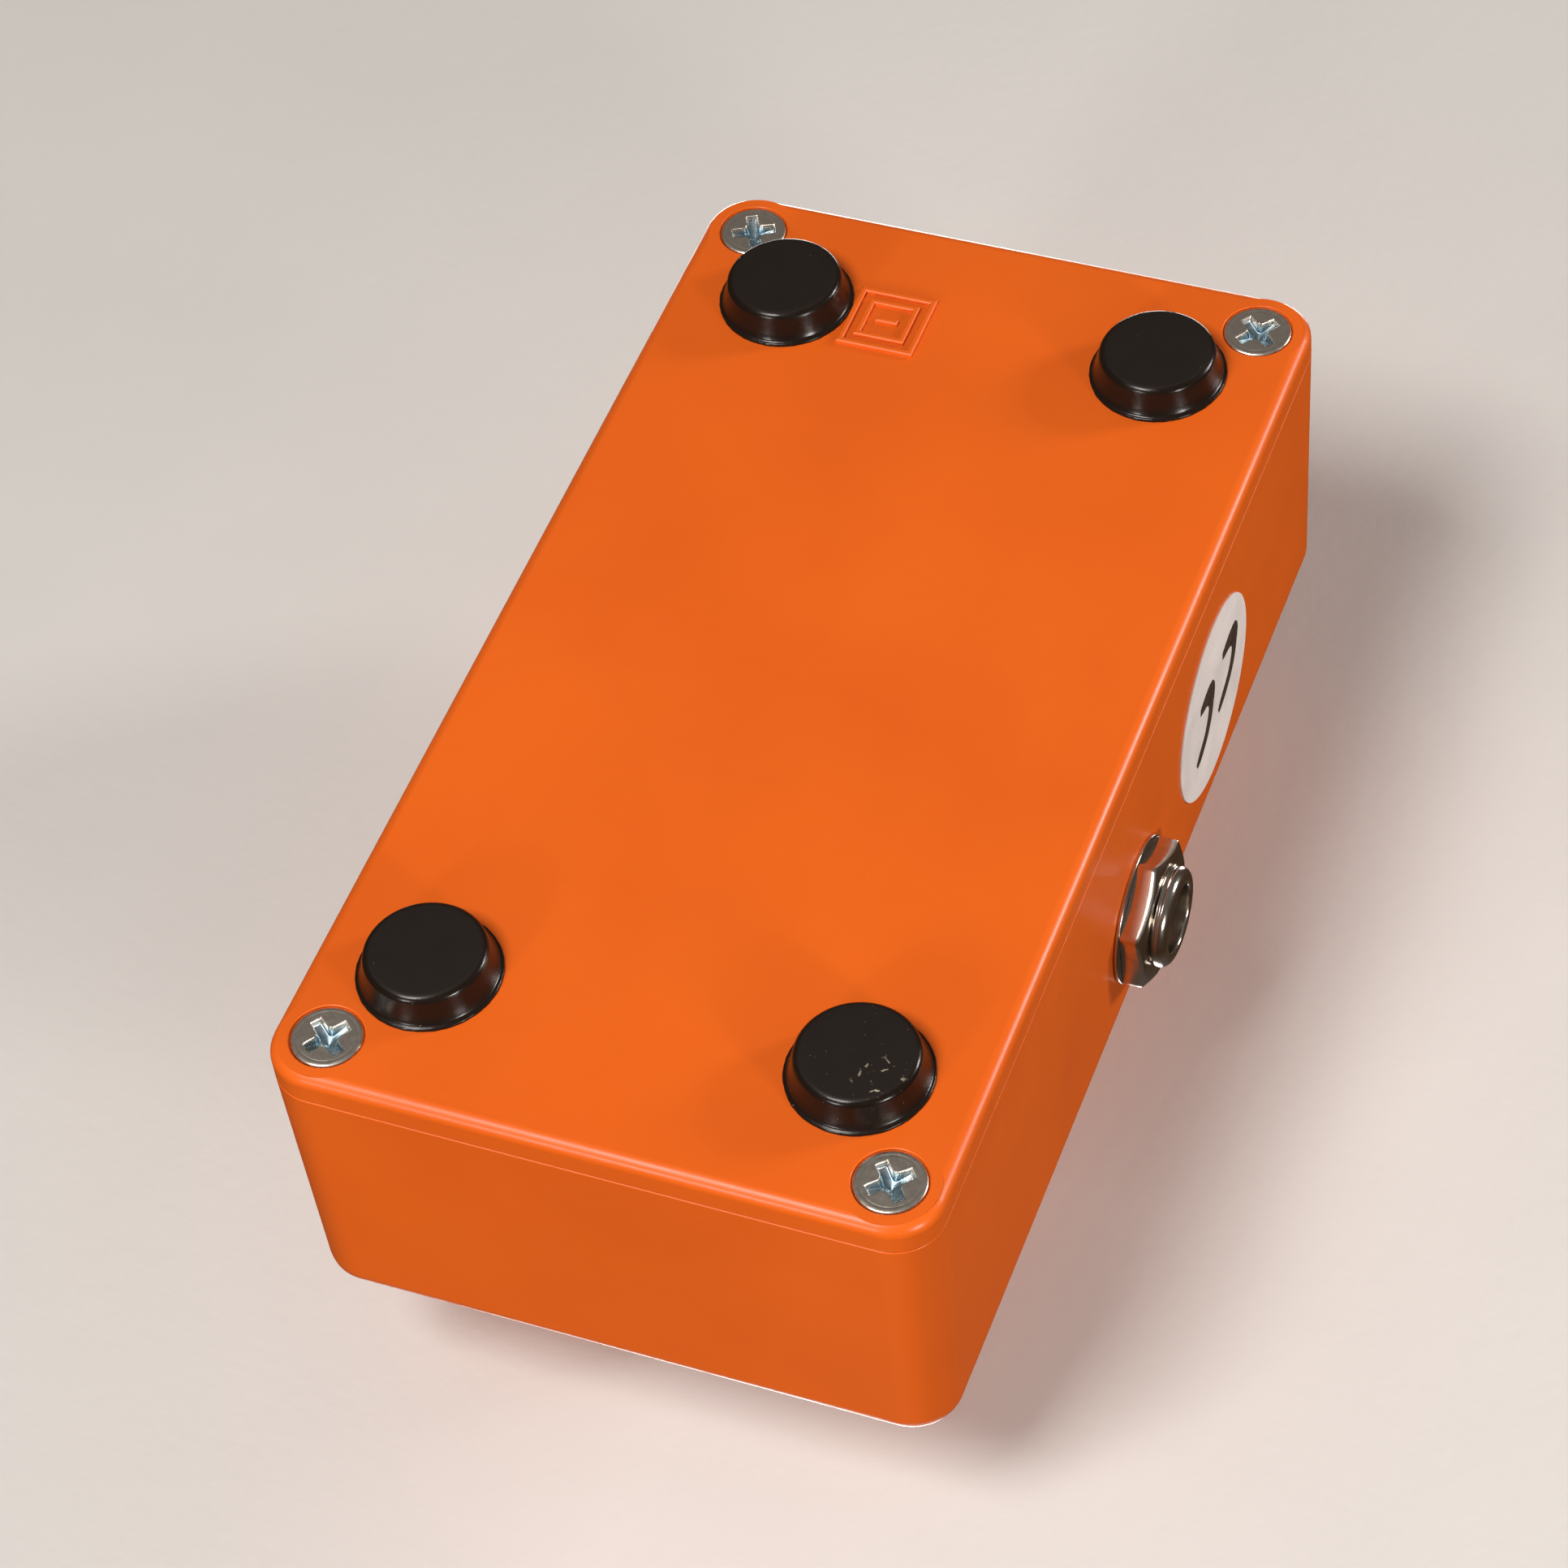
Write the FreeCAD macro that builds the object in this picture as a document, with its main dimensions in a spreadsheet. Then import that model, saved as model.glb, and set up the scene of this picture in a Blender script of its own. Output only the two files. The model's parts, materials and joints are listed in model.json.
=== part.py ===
"""A one-knob guitar effects pedal in a small die-cast box, as a parametric document.

The pedal stands on its rubber feet: +Z is up, +Y points to the head end, where the knob is,
and the footswitch is at the -Y end. The origin is the middle of the footprint, level with
the underside of the feet. Every size is in millimetres.
"""

import FreeCAD, Part
import math
import os
import re
import Sketcher

SIZES = [
    # the die-cast box
    ("box_wide", 60.4, "box width at the joint between box and base plate"),
    ("box_long", 111.3, "box length at the same joint"),
    ("box_high", 31.3, "outside of the base plate to the top of the box"),
    ("wall", 2.2, "thickness of the side walls"),
    ("top_wall", 2.2, "thickness of the top"),
    ("draft", 0.9, "casting draft of the walls, in degrees"),
    ("corner_round", 4.5, "radius of the four upright corners"),
    ("top_round", 1.9, "radius round the top"),
    ("lid_deep", 3.1, "depth of the base plate with its rim"),
    ("lid_thick", 2.2, "thickness of the base plate inside its rim"),
    ("lid_round", 1.15, "radius round the outside of the base plate"),
    ("joint_round", 0.16, "radius of the two edges that meet at the joint"),
    ("rib_thick", 1.2, "thickness of the ribs that locate the base plate"),
    ("rib_high", 1.2, "height of those ribs above the joint"),
    ("rib_slack", 0.25, "gap between the ribs and the walls"),
    ("rib_end", 4.0, "ribs' room at the screw bosses"),
    # screws
    ("screw_inset", 4.87, "screw centre to the outside of the box, both ways"),
    ("boss_dia", 8.4, "diameter of the screw bosses"),
    ("land_dia", 8.6, "diameter of the flat land round each screw"),
    ("screw_dia", 3.4, "diameter of the screw shank"),
    ("screw_long", 10.0, "length of the screws"),
    ("head_dia", 6.3, "diameter of the screw heads"),
    ("head_rim", 0.25, "height of the upright rim of a head"),
    ("head_deep", 1.45, "depth of the cone under a head"),
    ("screw_slack", 0.14, "radial gap round a screw in the base plate"),
    ("screw_tip", 0.6, "height of the cone at a screw's end"),
    ("screw_point", 2.4, "diameter of a screw's end"),
    ("sink_round", 0.12, "radius round the mouth of a countersink"),
    ("recess_wide", 1.1, "width of a cross recess wing"),
    ("recess_deep", 1.3, "depth of the cross recess"),
    ("recess_span", 4.3, "span of the cross recess"),
    # raised mark on the base plate
    ("mark_shift", 8.6, "raised mark's centre to the left of the middle"),
    ("mark_inset", 13.25, "raised mark's centre to the foot end"),
    ("mark_side", 7.6, "outside of its frame"),
    ("mark_line", 0.6, "width of its lines"),
    ("mark_inner", 5.0, "outside of its inner frame"),
    ("mark_bar", 2.2, "length of the bar in the middle"),
    ("mark_high", 0.4, "height it stands above the plate"),
    ("mark_round", 0.2, "radius round its raised edges"),
    # rubber feet
    ("foot_high", 3.2, "height of the feet"),
    ("foot_dia", 12.9, "diameter where they are stuck on"),
    ("foot_tip_dia", 11.1, "diameter of the standing face"),
    ("foot_round", 0.8, "radius round the standing face"),
    ("foot_lip", 0.35, "width of the thin lip round a foot"),
    ("foot_lip_thick", 0.3, "thickness of that lip"),
    ("head_left_side", 10.6, "head left foot's centre to the left side"),
    ("head_left_end", 13.75, "head left foot's centre to the head end"),
    ("head_right_side", 11.0, "head right foot's centre to the right side"),
    ("head_right_end", 14.35, "head right foot's centre to the head end"),
    ("foot_right_side", 12.15, "foot right foot's centre to the right side"),
    ("foot_right_end", 12.65, "foot right foot's centre to the foot end"),
    ("foot_left_side", 11.3, "foot left foot's centre to the left side"),
    ("foot_left_end", 12.85, "foot left foot's centre to the foot end"),
    # round label
    ("label_dia", 20.0, "diameter of the label"),
    ("label_thick", 0.12, "thickness of the label"),
    ("label_lift", 0.01, "adhesive under the label"),
    ("label_gap", 23.0, "label's centre to the jack's centre"),
    ("label_up", 17.6, "centre of the label above the base plate"),
    # jacks
    ("jack_inset", 53.45, "centre of the two jacks to the head end"),
    ("jack_drop", 10.1, "jack centre below the top"),
    ("jack_thread", 9.4, "diameter of the threaded bushing"),
    ("jack_bore", 6.4, "bore for the plug"),
    ("jack_reach", 4.0, "bushing's length outside the wall"),
    ("jack_chamfer", 0.95, "chamfer on the bushing's end"),
    ("jack_flange", 12.6, "diameter of the bushing's flange inside"),
    ("jack_flange_thick", 1.0, "thickness of that flange"),
    ("jack_washer", 13.9, "diameter of the washer"),
    ("jack_washer_thick", 0.35, "thickness of the washer"),
    ("jack_nut", 12.0, "nut across its flats"),
    ("jack_nut_thick", 2.2, "thickness of the nut"),
    ("jack_body", 14.0, "side of the square housing"),
    ("jack_deep", 21.0, "length of the housing"),
    ("jack_back", 2.0, "thickness of the housing's back"),
    ("plug_room", 0.3, "radial gap round the plug in the housing"),
    ("strip_wide", 2.6, "width of a contact strip"),
    ("strip_thick", 0.4, "thickness of a contact strip"),
    ("strip_gap", 0.4, "gap between the plug's room and a contact strip"),
    ("strip_shy", 5.0, "end of the strips below the housing's mouth"),
    ("slot_wide", 3.0, "width of a strip's slot in the housing"),
    ("slot_thick", 1.3, "height of that slot"),
    ("slot_shy", 4.0, "end of the slots below the housing's mouth"),
    ("nut_turn", 3.5, "turn of the jack nuts as tightened, in degrees"),
    ("lug_long", 3.2, "length of a solder lug behind a housing"),
    ("panel_slack", 0.2, "radial gap of a bushing in its panel hole"),
    ("thread_slack", 0.03, "radial gap between a nut and its bushing"),
    ("washer_slack", 0.2, "radial gap between a washer and its bushing"),
    ("seat_gap", 0.1, "gap between a housing and the wall it is clamped to"),
    # power socket
    ("socket_inset", 24.65, "centre of the power socket to the head end"),
    ("socket_snout", 8.8, "diameter of the snout in the wall"),
    ("socket_reach", 0.5, "snout's length outside the wall"),
    ("socket_bore", 6.3, "bore of the socket"),
    ("socket_body", 10.6, "side of the square housing"),
    ("socket_deep", 11.5, "length of the housing"),
    ("socket_back", 2.0, "thickness of its back"),
    ("socket_pin", 2.1, "diameter of the centre pin"),
    ("pin_shy", 1.0, "pin's end below the mouth"),
    ("pin_round", 0.6, "radius round the pin's end"),
    ("leaf_wide", 2.2, "width of the spring contact"),
    ("leaf_thick", 0.3, "thickness of the spring contact"),
    ("leaf_shy", 3.5, "end of the spring contact below the housing's mouth"),
    ("leaf_slot_wide", 3.0, "width of its slot"),
    ("leaf_slot_thick", 0.9, "height of its slot"),
    ("leaf_slot_shy", 3.0, "end of its slot below the housing's mouth"),
    # rate control
    ("pot_inset", 25.65, "centre of the control to the head end"),
    ("pot_dia", 17.0, "diameter of its can"),
    ("pot_deep", 9.4, "depth of the control below the top"),
    ("can_wall", 0.5, "thickness of the can"),
    ("plate_thick", 1.5, "thickness of its front plate"),
    ("pot_thread", 6.9, "diameter of its bushing"),
    ("pot_reach", 5.0, "bushing's length above the top"),
    ("shaft_dia", 6.0, "diameter of the shaft"),
    ("run_gap", 0.05, "running clearance of a shaft or plunger"),
    ("wafer_thick", 1.2, "thickness of the track wafer"),
    ("wafer_drop", 4.4, "middle of the wafer below the inside of the top"),
    ("pot_lug_gap", 5.0, "distance between the control's pins"),
    ("rotor_dia", 13.0, "diameter of the wiper rotor"),
    ("rotor_thick", 1.2, "thickness of the wiper rotor"),
    ("rotor_up", 1.2, "underside of the rotor above the can's bottom"),
    ("disc_gap", 0.4, "gap round the wafer, at the can and at the shaft"),
    ("pot_pin_wide", 1.4, "width of the control's pins"),
    ("pot_pin_thick", 0.5, "thickness of the control's pins"),
    ("pot_pin_out", 1.5, "pins' distance outside the can"),
    ("pot_thread_end", 0.4, "chamfer on the bushing's end"),
    ("shaft_end", 0.5, "chamfer on the shaft's end"),
    ("split_wide", 0.9, "width of the shaft's split"),
    ("split_deep", 6.0, "depth of the shaft's split"),
    ("pot_nut", 10.0, "nut across its flats"),
    ("pot_nut_thick", 2.0, "thickness of the nut"),
    ("pot_washer", 12.0, "diameter of the washer"),
    ("pot_washer_thick", 0.6, "thickness of the washer"),
    # knob
    ("control_high", 17.7, "top of the knob and of the footswitch above the box"),
    ("knob_gap", 1.0, "gap under the knob"),
    ("skirt_dia", 19.4, "diameter of the knob's skirt"),
    ("skirt_high", 2.6, "height of the skirt"),
    ("knob_dia", 17.4, "diameter of the knob above its skirt"),
    ("knob_tip_dia", 15.6, "diameter at its top"),
    ("knob_round", 0.9, "radius round the knob's top"),
    ("knob_hollow", 13.6, "diameter of the hollow over the nut"),
    ("knob_clear", 0.6, "gap between the bushing and the knob's hollow"),
    ("knob_roof", 2.0, "thickness of the knob over the shaft"),
    ("knob_fit", 0.02, "radial gap between knob and shaft"),
    ("skirt_foot", 0.4, "chamfer under the skirt"),
    ("skirt_slope", 0.7, "height of the skirt's sloped top"),
    ("skirt_step", 0.2, "step between the skirt and the knob's side"),
    ("flute_foot", 0.3, "end of the flutes above the skirt"),
    ("flute_dia", 1.5, "diameter of the flutes"),
    ("flute_out", 0.1, "flutes' centres outside the knob's side"),
    ("line_wide", 1.2, "width of the pointer line"),
    ("line_deep", 0.4, "depth of the pointer line"),
    ("line_end", 0.7, "pointer line's end from the knob's edge"),
    ("line_start", 1.9, "pointer line's start from the axis"),
    ("line_fit", 0.01, "gap round the pointer line"),
    ("grub_dia", 3.0, "diameter of the set screw"),
    ("grub_drop", 6.5, "set screw below the knob's top"),
    ("grub_sunk", 1.2, "set screw's end below the knob's side"),
    ("grub_key", 1.5, "key socket across its corners"),
    ("grub_key_deep", 1.3, "depth of the key socket"),
    # footswitch
    ("switch_inset", 22.0, "footswitch centre to the foot end of the box"),
    ("switch_thread", 11.9, "diameter of the threaded bushing"),
    ("switch_reach", 7.0, "bushing's length above the top"),
    ("switch_body", 17.2, "side of the square case"),
    ("switch_deep", 13.0, "height of the case"),
    ("switch_plate", 1.0, "thickness of the plate under the bushing"),
    ("switch_base", 1.5, "thickness of the case's bottom"),
    ("lock_washer_thick", 0.5, "thickness of the inside washer"),
    ("lock_washer_out", 0.8, "washer's edge outside the nut's flats"),
    ("switch_nut", 14.0, "nuts across their flats"),
    ("lower_nut_thick", 1.9, "thickness of the inside nut"),
    ("upper_nut_thick", 2.2, "thickness of the outside nut"),
    ("trim_washer", 17.6, "diameter of the nylon washer outside"),
    ("trim_washer_thick", 0.8, "thickness of the nylon washer"),
    ("stem_dia", 7.8, "diameter of the plunger's stem"),
    ("stop_dia", 9.0, "diameter of the plunger's stop collar"),
    ("stop_thick", 1.4, "thickness of that collar"),
    ("cap_dia", 10.2, "diameter of the plunger's cap"),
    ("cap_high", 6.4, "height of the cap"),
    ("cap_round", 2.2, "radius round the top of the cap"),
    ("hollow_gap", 0.3, "radial gap round the stop collar in the case"),
    ("switch_thread_end", 0.6, "chamfer on the bushing's end"),
    ("cap_foot", 0.3, "chamfer under the cap"),
    ("plate_shy", 0.2, "plate's edge inside the case's edge"),
    ("upper_nut_turn", 12.0, "turn of the outside nut as tightened, in degrees"),
    ("spring_dia", 6.4, "mean diameter of the return spring"),
    ("spring_wire", 0.6, "side of its square wire"),
    ("spring_gap", 0.05, "gap at each end of the spring"),
    ("spring_turns", 5, "turns of the spring"),
    ("clip_thick", 0.5, "thickness of the clips that hold the case"),
    ("clip_wide", 10.0, "width of the clips"),
    ("clip_hook", 1.9, "clips' reach under the case"),
    ("clip_gap", 0.02, "gap between a clip and the case"),
    ("switch_lug_x", 4.7, "distance between lugs across the case"),
    ("switch_lug_y", 5.3, "distance between lugs along the case"),
    ("switch_lug_long", 4.2, "length of the lugs"),
    ("switch_lug_wide", 2.0, "width of the lugs"),
    ("switch_lug_thick", 0.7, "thickness of the lugs"),
    # status lamp
    ("lamp_inset", 40.65, "centre of the lamp to the head end"),
    ("lamp_dia", 5.0, "diameter of the lamp"),
    ("lamp_high", 2.6, "lamp's height above the top"),
    ("lamp_deep", 3.6, "lamp's depth below the top"),
    ("bezel_dia", 8.0, "diameter of the bezel"),
    ("bezel_tube", 6.2, "diameter of its tube"),
    ("bezel_rim", 0.9, "height of its rim"),
    ("bezel_lip", 0.3, "height of its rim's outer edge"),
    ("bezel_shy", 1.0, "tube's end above the lamp's base"),
    ("lamp_tip", 0.2, "radius of the flat left on the lamp's dome"),
    ("lamp_rim", 0.4, "width of the lamp's base rim"),
    ("lamp_rim_thick", 0.9, "thickness of that rim"),
    ("lamp_fit", 0.05, "radial gap between lamp and bezel"),
    ("lead_dia", 0.6, "diameter of the lamp's leads"),
    ("lead_gap", 2.54, "distance between the lamp's leads"),
    # circuit board
    ("board_wide", 40.6, "width of the board"),
    ("board_long", 38.0, "length of the board"),
    ("board_thick", 1.6, "thickness of the board"),
    ("board_up", 9.8, "underside of the board above the inside of the base plate"),
    ("board_gap", 5.65, "head edge of the board to the head end"),
    ("pad_thick", 1.4, "thickness of the foam pad under the board"),
    ("pad_shy", 4.0, "pad's sides inside the board's sides"),
    ("pad_end_shy", 5.0, "pad's ends inside the board's ends"),
    # parts on the board, which hang from its underside
    ("chip_wide", 6.4, "width of a chip"),
    ("chip_long", 9.6, "length of a chip"),
    ("chip_high", 3.3, "thickness of a chip"),
    ("chip_off", 0.6, "gap between a chip and the board"),
    ("chip_pitch", 9.0, "distance between chips"),
    ("chip_row", 5.0, "chip row's centre on the foot side of the board's centre"),
    ("leg_wide", 0.7, "width of a chip's leg"),
    ("leg_thick", 0.5, "thickness of a chip's leg"),
    ("leg_long", 2.6, "length of a chip's leg"),
    ("leg_out", 0.25, "leg's middle outside the chip's side"),
    ("leg_pitch", 2.54, "distance between legs"),
    ("can_high", 7.0, "height of an electrolytic capacitor"),
    ("film_thick", 2.6, "thickness of a film capacitor"),
    ("film_long", 7.2, "length of a film capacitor"),
    ("film_high", 6.2, "height of a film capacitor"),
    ("film_pitch", 6.0, "distance between film capacitors"),
    ("film_row", 7.0, "film row's centre on the head side of the board's centre"),
    ("film_shift", 0.5, "film row's middle to the left of the board's middle"),
    ("resistor_dia", 2.2, "diameter of a resistor"),
    ("resistor_long", 5.5, "length of a resistor"),
    ("resistor_off", 1.3, "resistor's axis below the board"),
    ("resistor_wire", 0.5, "diameter of its wires"),
    ("resistor_pitch", 4.0, "distance between resistors"),
    ("resistor_row", 16.2, "resistor row's centre on the foot side of the board's centre"),
    ("resistor_shift", 2.0, "resistor row's middle to the left of the board's middle"),
    ("transistor_dia", 4.6, "diameter of a transistor"),
    ("transistor_high", 5.4, "height of a transistor"),
    ("transistor_flat", 1.4, "flat side of a transistor to its axis"),
    ("transistor_x", 17.0, "transistors' distance to each side of the board's middle"),
    ("transistor_row", 4.0, "transistors on the head side of the board's centre"),
    ("trimmer_side", 6.6, "side of the trimmer"),
    ("trimmer_high", 4.4, "height of the trimmer"),
    ("trimmer_x", 1.0, "trimmer to the right of the board's middle"),
    ("trimmer_row", 14.0, "trimmer on the head side of the board's centre"),
    ("well_dia", 4.4, "diameter of its rotor's well"),
    ("well_deep", 2.0, "depth of the well"),
    ("rotor_out", 0.3, "trimmer rotor's face outside the body"),
    ("rotor_high", 2.2, "height of the trimmer's rotor"),
    ("slit_wide", 0.7, "width of the rotor's slot"),
    ("slit_long", 3.2, "length of the rotor's slot"),
    ("slit_deep", 0.6, "depth of the rotor's slot"),
    # battery
    ("cell_long", 46.0, "length of the battery case"),
    ("cell_wide", 26.0, "width of the battery case"),
    ("cell_thick", 17.0, "thickness of the battery case"),
    ("cell_round", 2.0, "radius of its long edges"),
    ("cell_clear", 1.7, "gap between the battery and the wall at its closed end"),
    ("foam_thick", 0.6, "thickness of the foam strip under the battery"),
    ("terminal_gap", 12.7, "distance between the battery's terminals"),
    ("terminal_dia", 5.6, "diameter of a terminal"),
    ("terminal_high", 2.4, "height of a terminal"),
    ("snap_wide", 23.6, "width of the snap"),
    ("snap_deep", 12.4, "depth of the snap"),
    ("snap_thick", 4.4, "thickness of the snap"),
    ("snap_slack", 0.1, "radial gap between a terminal and the snap"),
    ("snap_gap", 0.05, "gap between the snap and the battery"),
    ("foam_end_shy", 2.0, "foam strip's ends inside the battery's ends"),
    ("foam_side_shy", 1.0, "foam strip's sides inside the battery's sides"),
    # tool settings
    ("overcut", 1.0, "how far a cutting shape runs past the face it cuts"),
]

EMBED = "0.05"
FLUTES = 20
RESISTORS = 8
CHIPS = 4
FILMS = 5
LEGS = 4
# Name, place to the right of the board's middle, place on its head side, and diameter.
CANS = (
    ("can_bulk", "-16", "13", "5.6"),
    ("can_input", "-8", "14", "5.0"),
    ("can_output", "9", "14", "5.0"),
    ("can_supply", "16.5", "-14", "6.2"),
)
# Side, end and turn in degrees of each screw, as it happened to stop.
SCREWS = ((-1, 1, 38), (1, 1, 49), (1, -1, 40), (-1, -1, 64))
ALIASES = {name for name, _, _ in SIZES}

DOC = FreeCAD.newDocument("EffectsPedal")
SHEET = DOC.addObject("Spreadsheet::Sheet", "Sizes")
for row, (alias, value, note) in enumerate(SIZES, start=1):
    SHEET.set(f"A{row}", note)
    SHEET.set(f"B{row}", str(value))
    SHEET.setAlias(f"B{row}", alias)
DOC.recompute()

# Levels and places that several pieces share, worked out from the sheet.
LID = "foot_high"
LID_INSIDE = "(foot_high + lid_thick)"
JOINT = "(foot_high + lid_deep)"
TOP = "(foot_high + box_high)"
CEILING = "(foot_high + box_high - top_wall)"
CONTROL_TOP = "(foot_high + box_high + control_high)"
SCREW_X = "(box_wide / 2 - screw_inset)"
SCREW_Y = "(box_long / 2 - screw_inset)"
SLOPE = "tan(draft * 1 deg)"
JACK_Z = f"({TOP} - jack_drop)"
SWITCH_Y = "(switch_inset - box_long / 2)"
JACK_Y = "(box_long / 2 - jack_inset)"
SOCKET_Y = "(box_long / 2 - socket_inset)"
POT_Y = "(box_long / 2 - pot_inset)"
LAMP_Y = "(box_long / 2 - lamp_inset)"
BOARD_Y = "(box_long / 2 - board_gap - board_long / 2)"
MARK = ("-mark_shift", "mark_inset - box_long / 2")
BOARD_Z = f"({LID_INSIDE} + board_up)"
BOARD_TOP = f"({BOARD_Z} + board_thick)"
SWITCH_TOP = f"({CEILING} - lock_washer_thick - lower_nut_thick)"
CASE_TOP = f"({SWITCH_TOP} - switch_plate)"
CASE_BOTTOM = f"({CASE_TOP} - switch_deep)"
SPRING_FOOT = f"({CASE_BOTTOM} + switch_base)"
STOP_TOP = f"({CASE_TOP} - run_gap)"
STOP_BOTTOM = f"({STOP_TOP} - stop_thick)"
CELL_Y = f"(({JACK_Y} - jack_body / 2 + {SWITCH_Y} + switch_body / 2) / 2)"
CELL_Z = f"({LID_INSIDE} + foam_thick)"
CELL_X = "(cell_clear + wall - box_wide / 2)"

UPRIGHT = FreeCAD.Rotation()
RIGHTWARD = FreeCAD.Rotation(FreeCAD.Vector(0, 1, 0), 90)
LEFTWARD = FreeCAD.Rotation(FreeCAD.Vector(0, 1, 0), -90)
FOOTWARD = FreeCAD.Rotation(FreeCAD.Vector(1, 0, 0), 90)

SUB_PARTS = []


def wall_face(height):
    """Half the box's outside width at a height, allowing for the draft."""
    return f"(box_wide / 2 - (({height}) - {JOINT}) * {SLOPE})"


def formula(text):
    """Turn a formula of plain size names into one that reads the sheet."""
    def look_up(match):
        word = match.group(0)
        return f"Sizes.{word}" if word in ALIASES else word
    return re.sub(r"[a-z]\w*", look_up, text)


def bind(item, **texts):
    """Bind an item's properties to formulas."""
    for name, text in texts.items():
        item.setExpression(name, formula(text))


def place(item, x="0", y="0", z="0", turn=UPRIGHT):
    """Place an item by formulas, turned first."""
    item.Placement = FreeCAD.Placement(FreeCAD.Vector(), turn)
    for axis, text in zip("xyz", (x, y, z)):
        item.setExpression(f"Placement.Base.{axis}", formula(text))
    return item


def sub_part(item):
    """List an item as one of the pedal's pieces; its label names its file."""
    SUB_PARTS.append(item)
    return item


def rod(name, dia, tall, x="0", y="0", z="0", turn=UPRIGHT):
    """A round bar that starts at a place and runs along its turned Z."""
    item = DOC.addObject("Part::Cylinder", name)
    bind(item, Radius=f"({dia}) / 2", Height=tall)
    return place(item, x, y, z, turn)


def block(name, wide, deep, tall, x="0", y="0", z="0"):
    """A box centred on x and y that stands on z."""
    item = DOC.addObject("Part::Box", name)
    bind(item, Length=wide, Width=deep, Height=tall)
    return place(item, f"({x}) - ({wide}) / 2", f"({y}) - ({deep}) / 2", z)


def join(name, *pieces):
    """Fuse pieces into one."""
    item = DOC.addObject("Part::MultiFuse", name)
    item.Shapes = list(pieces)
    return item


def cut(name, base, *tools):
    """Cut tools out of a base."""
    item = DOC.addObject("Part::Cut", name)
    item.Base = base
    item.Tool = tools[0] if len(tools) == 1 else join(f"{name}_tools", *tools)
    return item


def group(name, pieces):
    """Hold separate solids in one piece."""
    item = DOC.addObject("Part::Compound", name)
    item.Links = list(pieces)
    return item


def body(name):
    """An empty PartDesign body."""
    return DOC.addObject("PartDesign::Body", name)


def sketch(owner, name, role, lift="0"):
    """A sketch on one of its body's own origin planes, lifted along the normal."""
    item = owner.newObject("Sketcher::SketchObject", name)
    planes = {feature.Role: feature for feature in owner.Origin.OriginFeatures}
    item.AttachmentSupport = [(planes[role], "")]
    item.MapMode = "FlatFace"
    item.setExpression("AttachmentOffset.Base.z", formula(lift))
    return item


def fix_point(item, curve, end, x, y):
    """Dimension a sketch point from the sketch's origin."""
    for kind, text in (("DistanceX", x), ("DistanceY", y)):
        number = item.addConstraint(Sketcher.Constraint(kind, -1, 1, curve, end, 1.0))
        item.setExpression(f"Constraints[{number}]", formula(text))


def outline(item, points):
    """Draw a closed outline of straight lines through dimensioned corners."""
    first = item.GeometryCount
    count = len(points)
    angles = [2 * math.pi * step / count for step in range(count + 1)]
    ring = [FreeCAD.Vector(math.cos(angle), math.sin(angle), 0) for angle in angles]
    for step in range(count):
        item.addGeometry(Part.LineSegment(ring[step], ring[(step + 1) % count]), False)
    for step in range(count):
        follower = first + (step + 1) % count
        item.addConstraint(Sketcher.Constraint("Coincident", first + step, 2, follower, 1))
    for step, (x, y) in enumerate(points):
        fix_point(item, first + step, 1, x, y)


def rectangle(item, wide, deep, x="0", y="0"):
    """Draw a rectangle about a centre."""
    left, right = f"({x}) - ({wide}) / 2", f"({x}) + ({wide}) / 2"
    low, high = f"({y}) - ({deep}) / 2", f"({y}) + ({deep}) / 2"
    outline(item, [(left, low), (right, low), (right, high), (left, high)])


def circle(item, dia, x="0", y="0"):
    """Draw a circle about a centre."""
    up = FreeCAD.Vector(0, 0, 1)
    curve = item.addGeometry(Part.Circle(FreeCAD.Vector(1, 1, 0), up, 1.0), False)
    fix_point(item, curve, 3, x, y)
    number = item.addConstraint(Sketcher.Constraint("Diameter", curve, 1.0))
    item.setExpression(f"Constraints[{number}]", formula(dia))


def screw_circles(item, dia):
    """Draw one circle round each of the four screws."""
    for side in (-1, 1):
        for end in (-1, 1):
            circle(item, dia, f"{side} * {SCREW_X}", f"{end} * {SCREW_Y}")


def pad(owner, profile, tall, taper="0"):
    """Raise a sketch along its normal."""
    item = owner.newObject("PartDesign::Pad", f"{profile.Name}_pad")
    item.Profile = profile
    bind(item, Length=tall, TaperAngle=taper)
    DOC.recompute()
    return item


def pocket(owner, profile, deep, upward=False, taper="0"):
    """Sink a sketch against its normal, or along it."""
    before = owner.Shape.Volume
    item = owner.newObject("PartDesign::Pocket", f"{profile.Name}_pocket")
    item.Profile = profile
    item.Reversed = upward
    bind(item, Length=deep, TaperAngle=taper)
    DOC.recompute()
    if item.Shape.Volume >= before:
        raise RuntimeError(f"{item.Name} cuts nothing")
    return item


def soften(owner, feature, radius, test):
    """Round the edges of a feature that pass a test."""
    names = [
        f"Edge{number}"
        for number, edge in enumerate(feature.Shape.Edges, start=1)
        if test(edge)
    ]
    item = owner.newObject("PartDesign::Fillet", f"{feature.Name}_round")
    item.Base = (feature, names)
    bind(item, Radius=radius)
    DOC.recompute()
    return item


def is_upright(edge):
    """An edge that climbs more than it runs."""
    box = edge.BoundBox
    return box.ZLength > max(box.XLength, box.YLength)


def is_long_edge(edge):
    """An edge that runs along X."""
    box = edge.BoundBox
    return box.XLength > max(box.YLength, box.ZLength)


def sheet_number(text):
    """The number that a formula of plain size names gives now."""
    probe = DOC.addObject("Part::Vertex", "probe")
    bind(probe, X=text)
    DOC.recompute()
    number = float(probe.X)
    DOC.removeObject(probe.Name)
    return number


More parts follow.
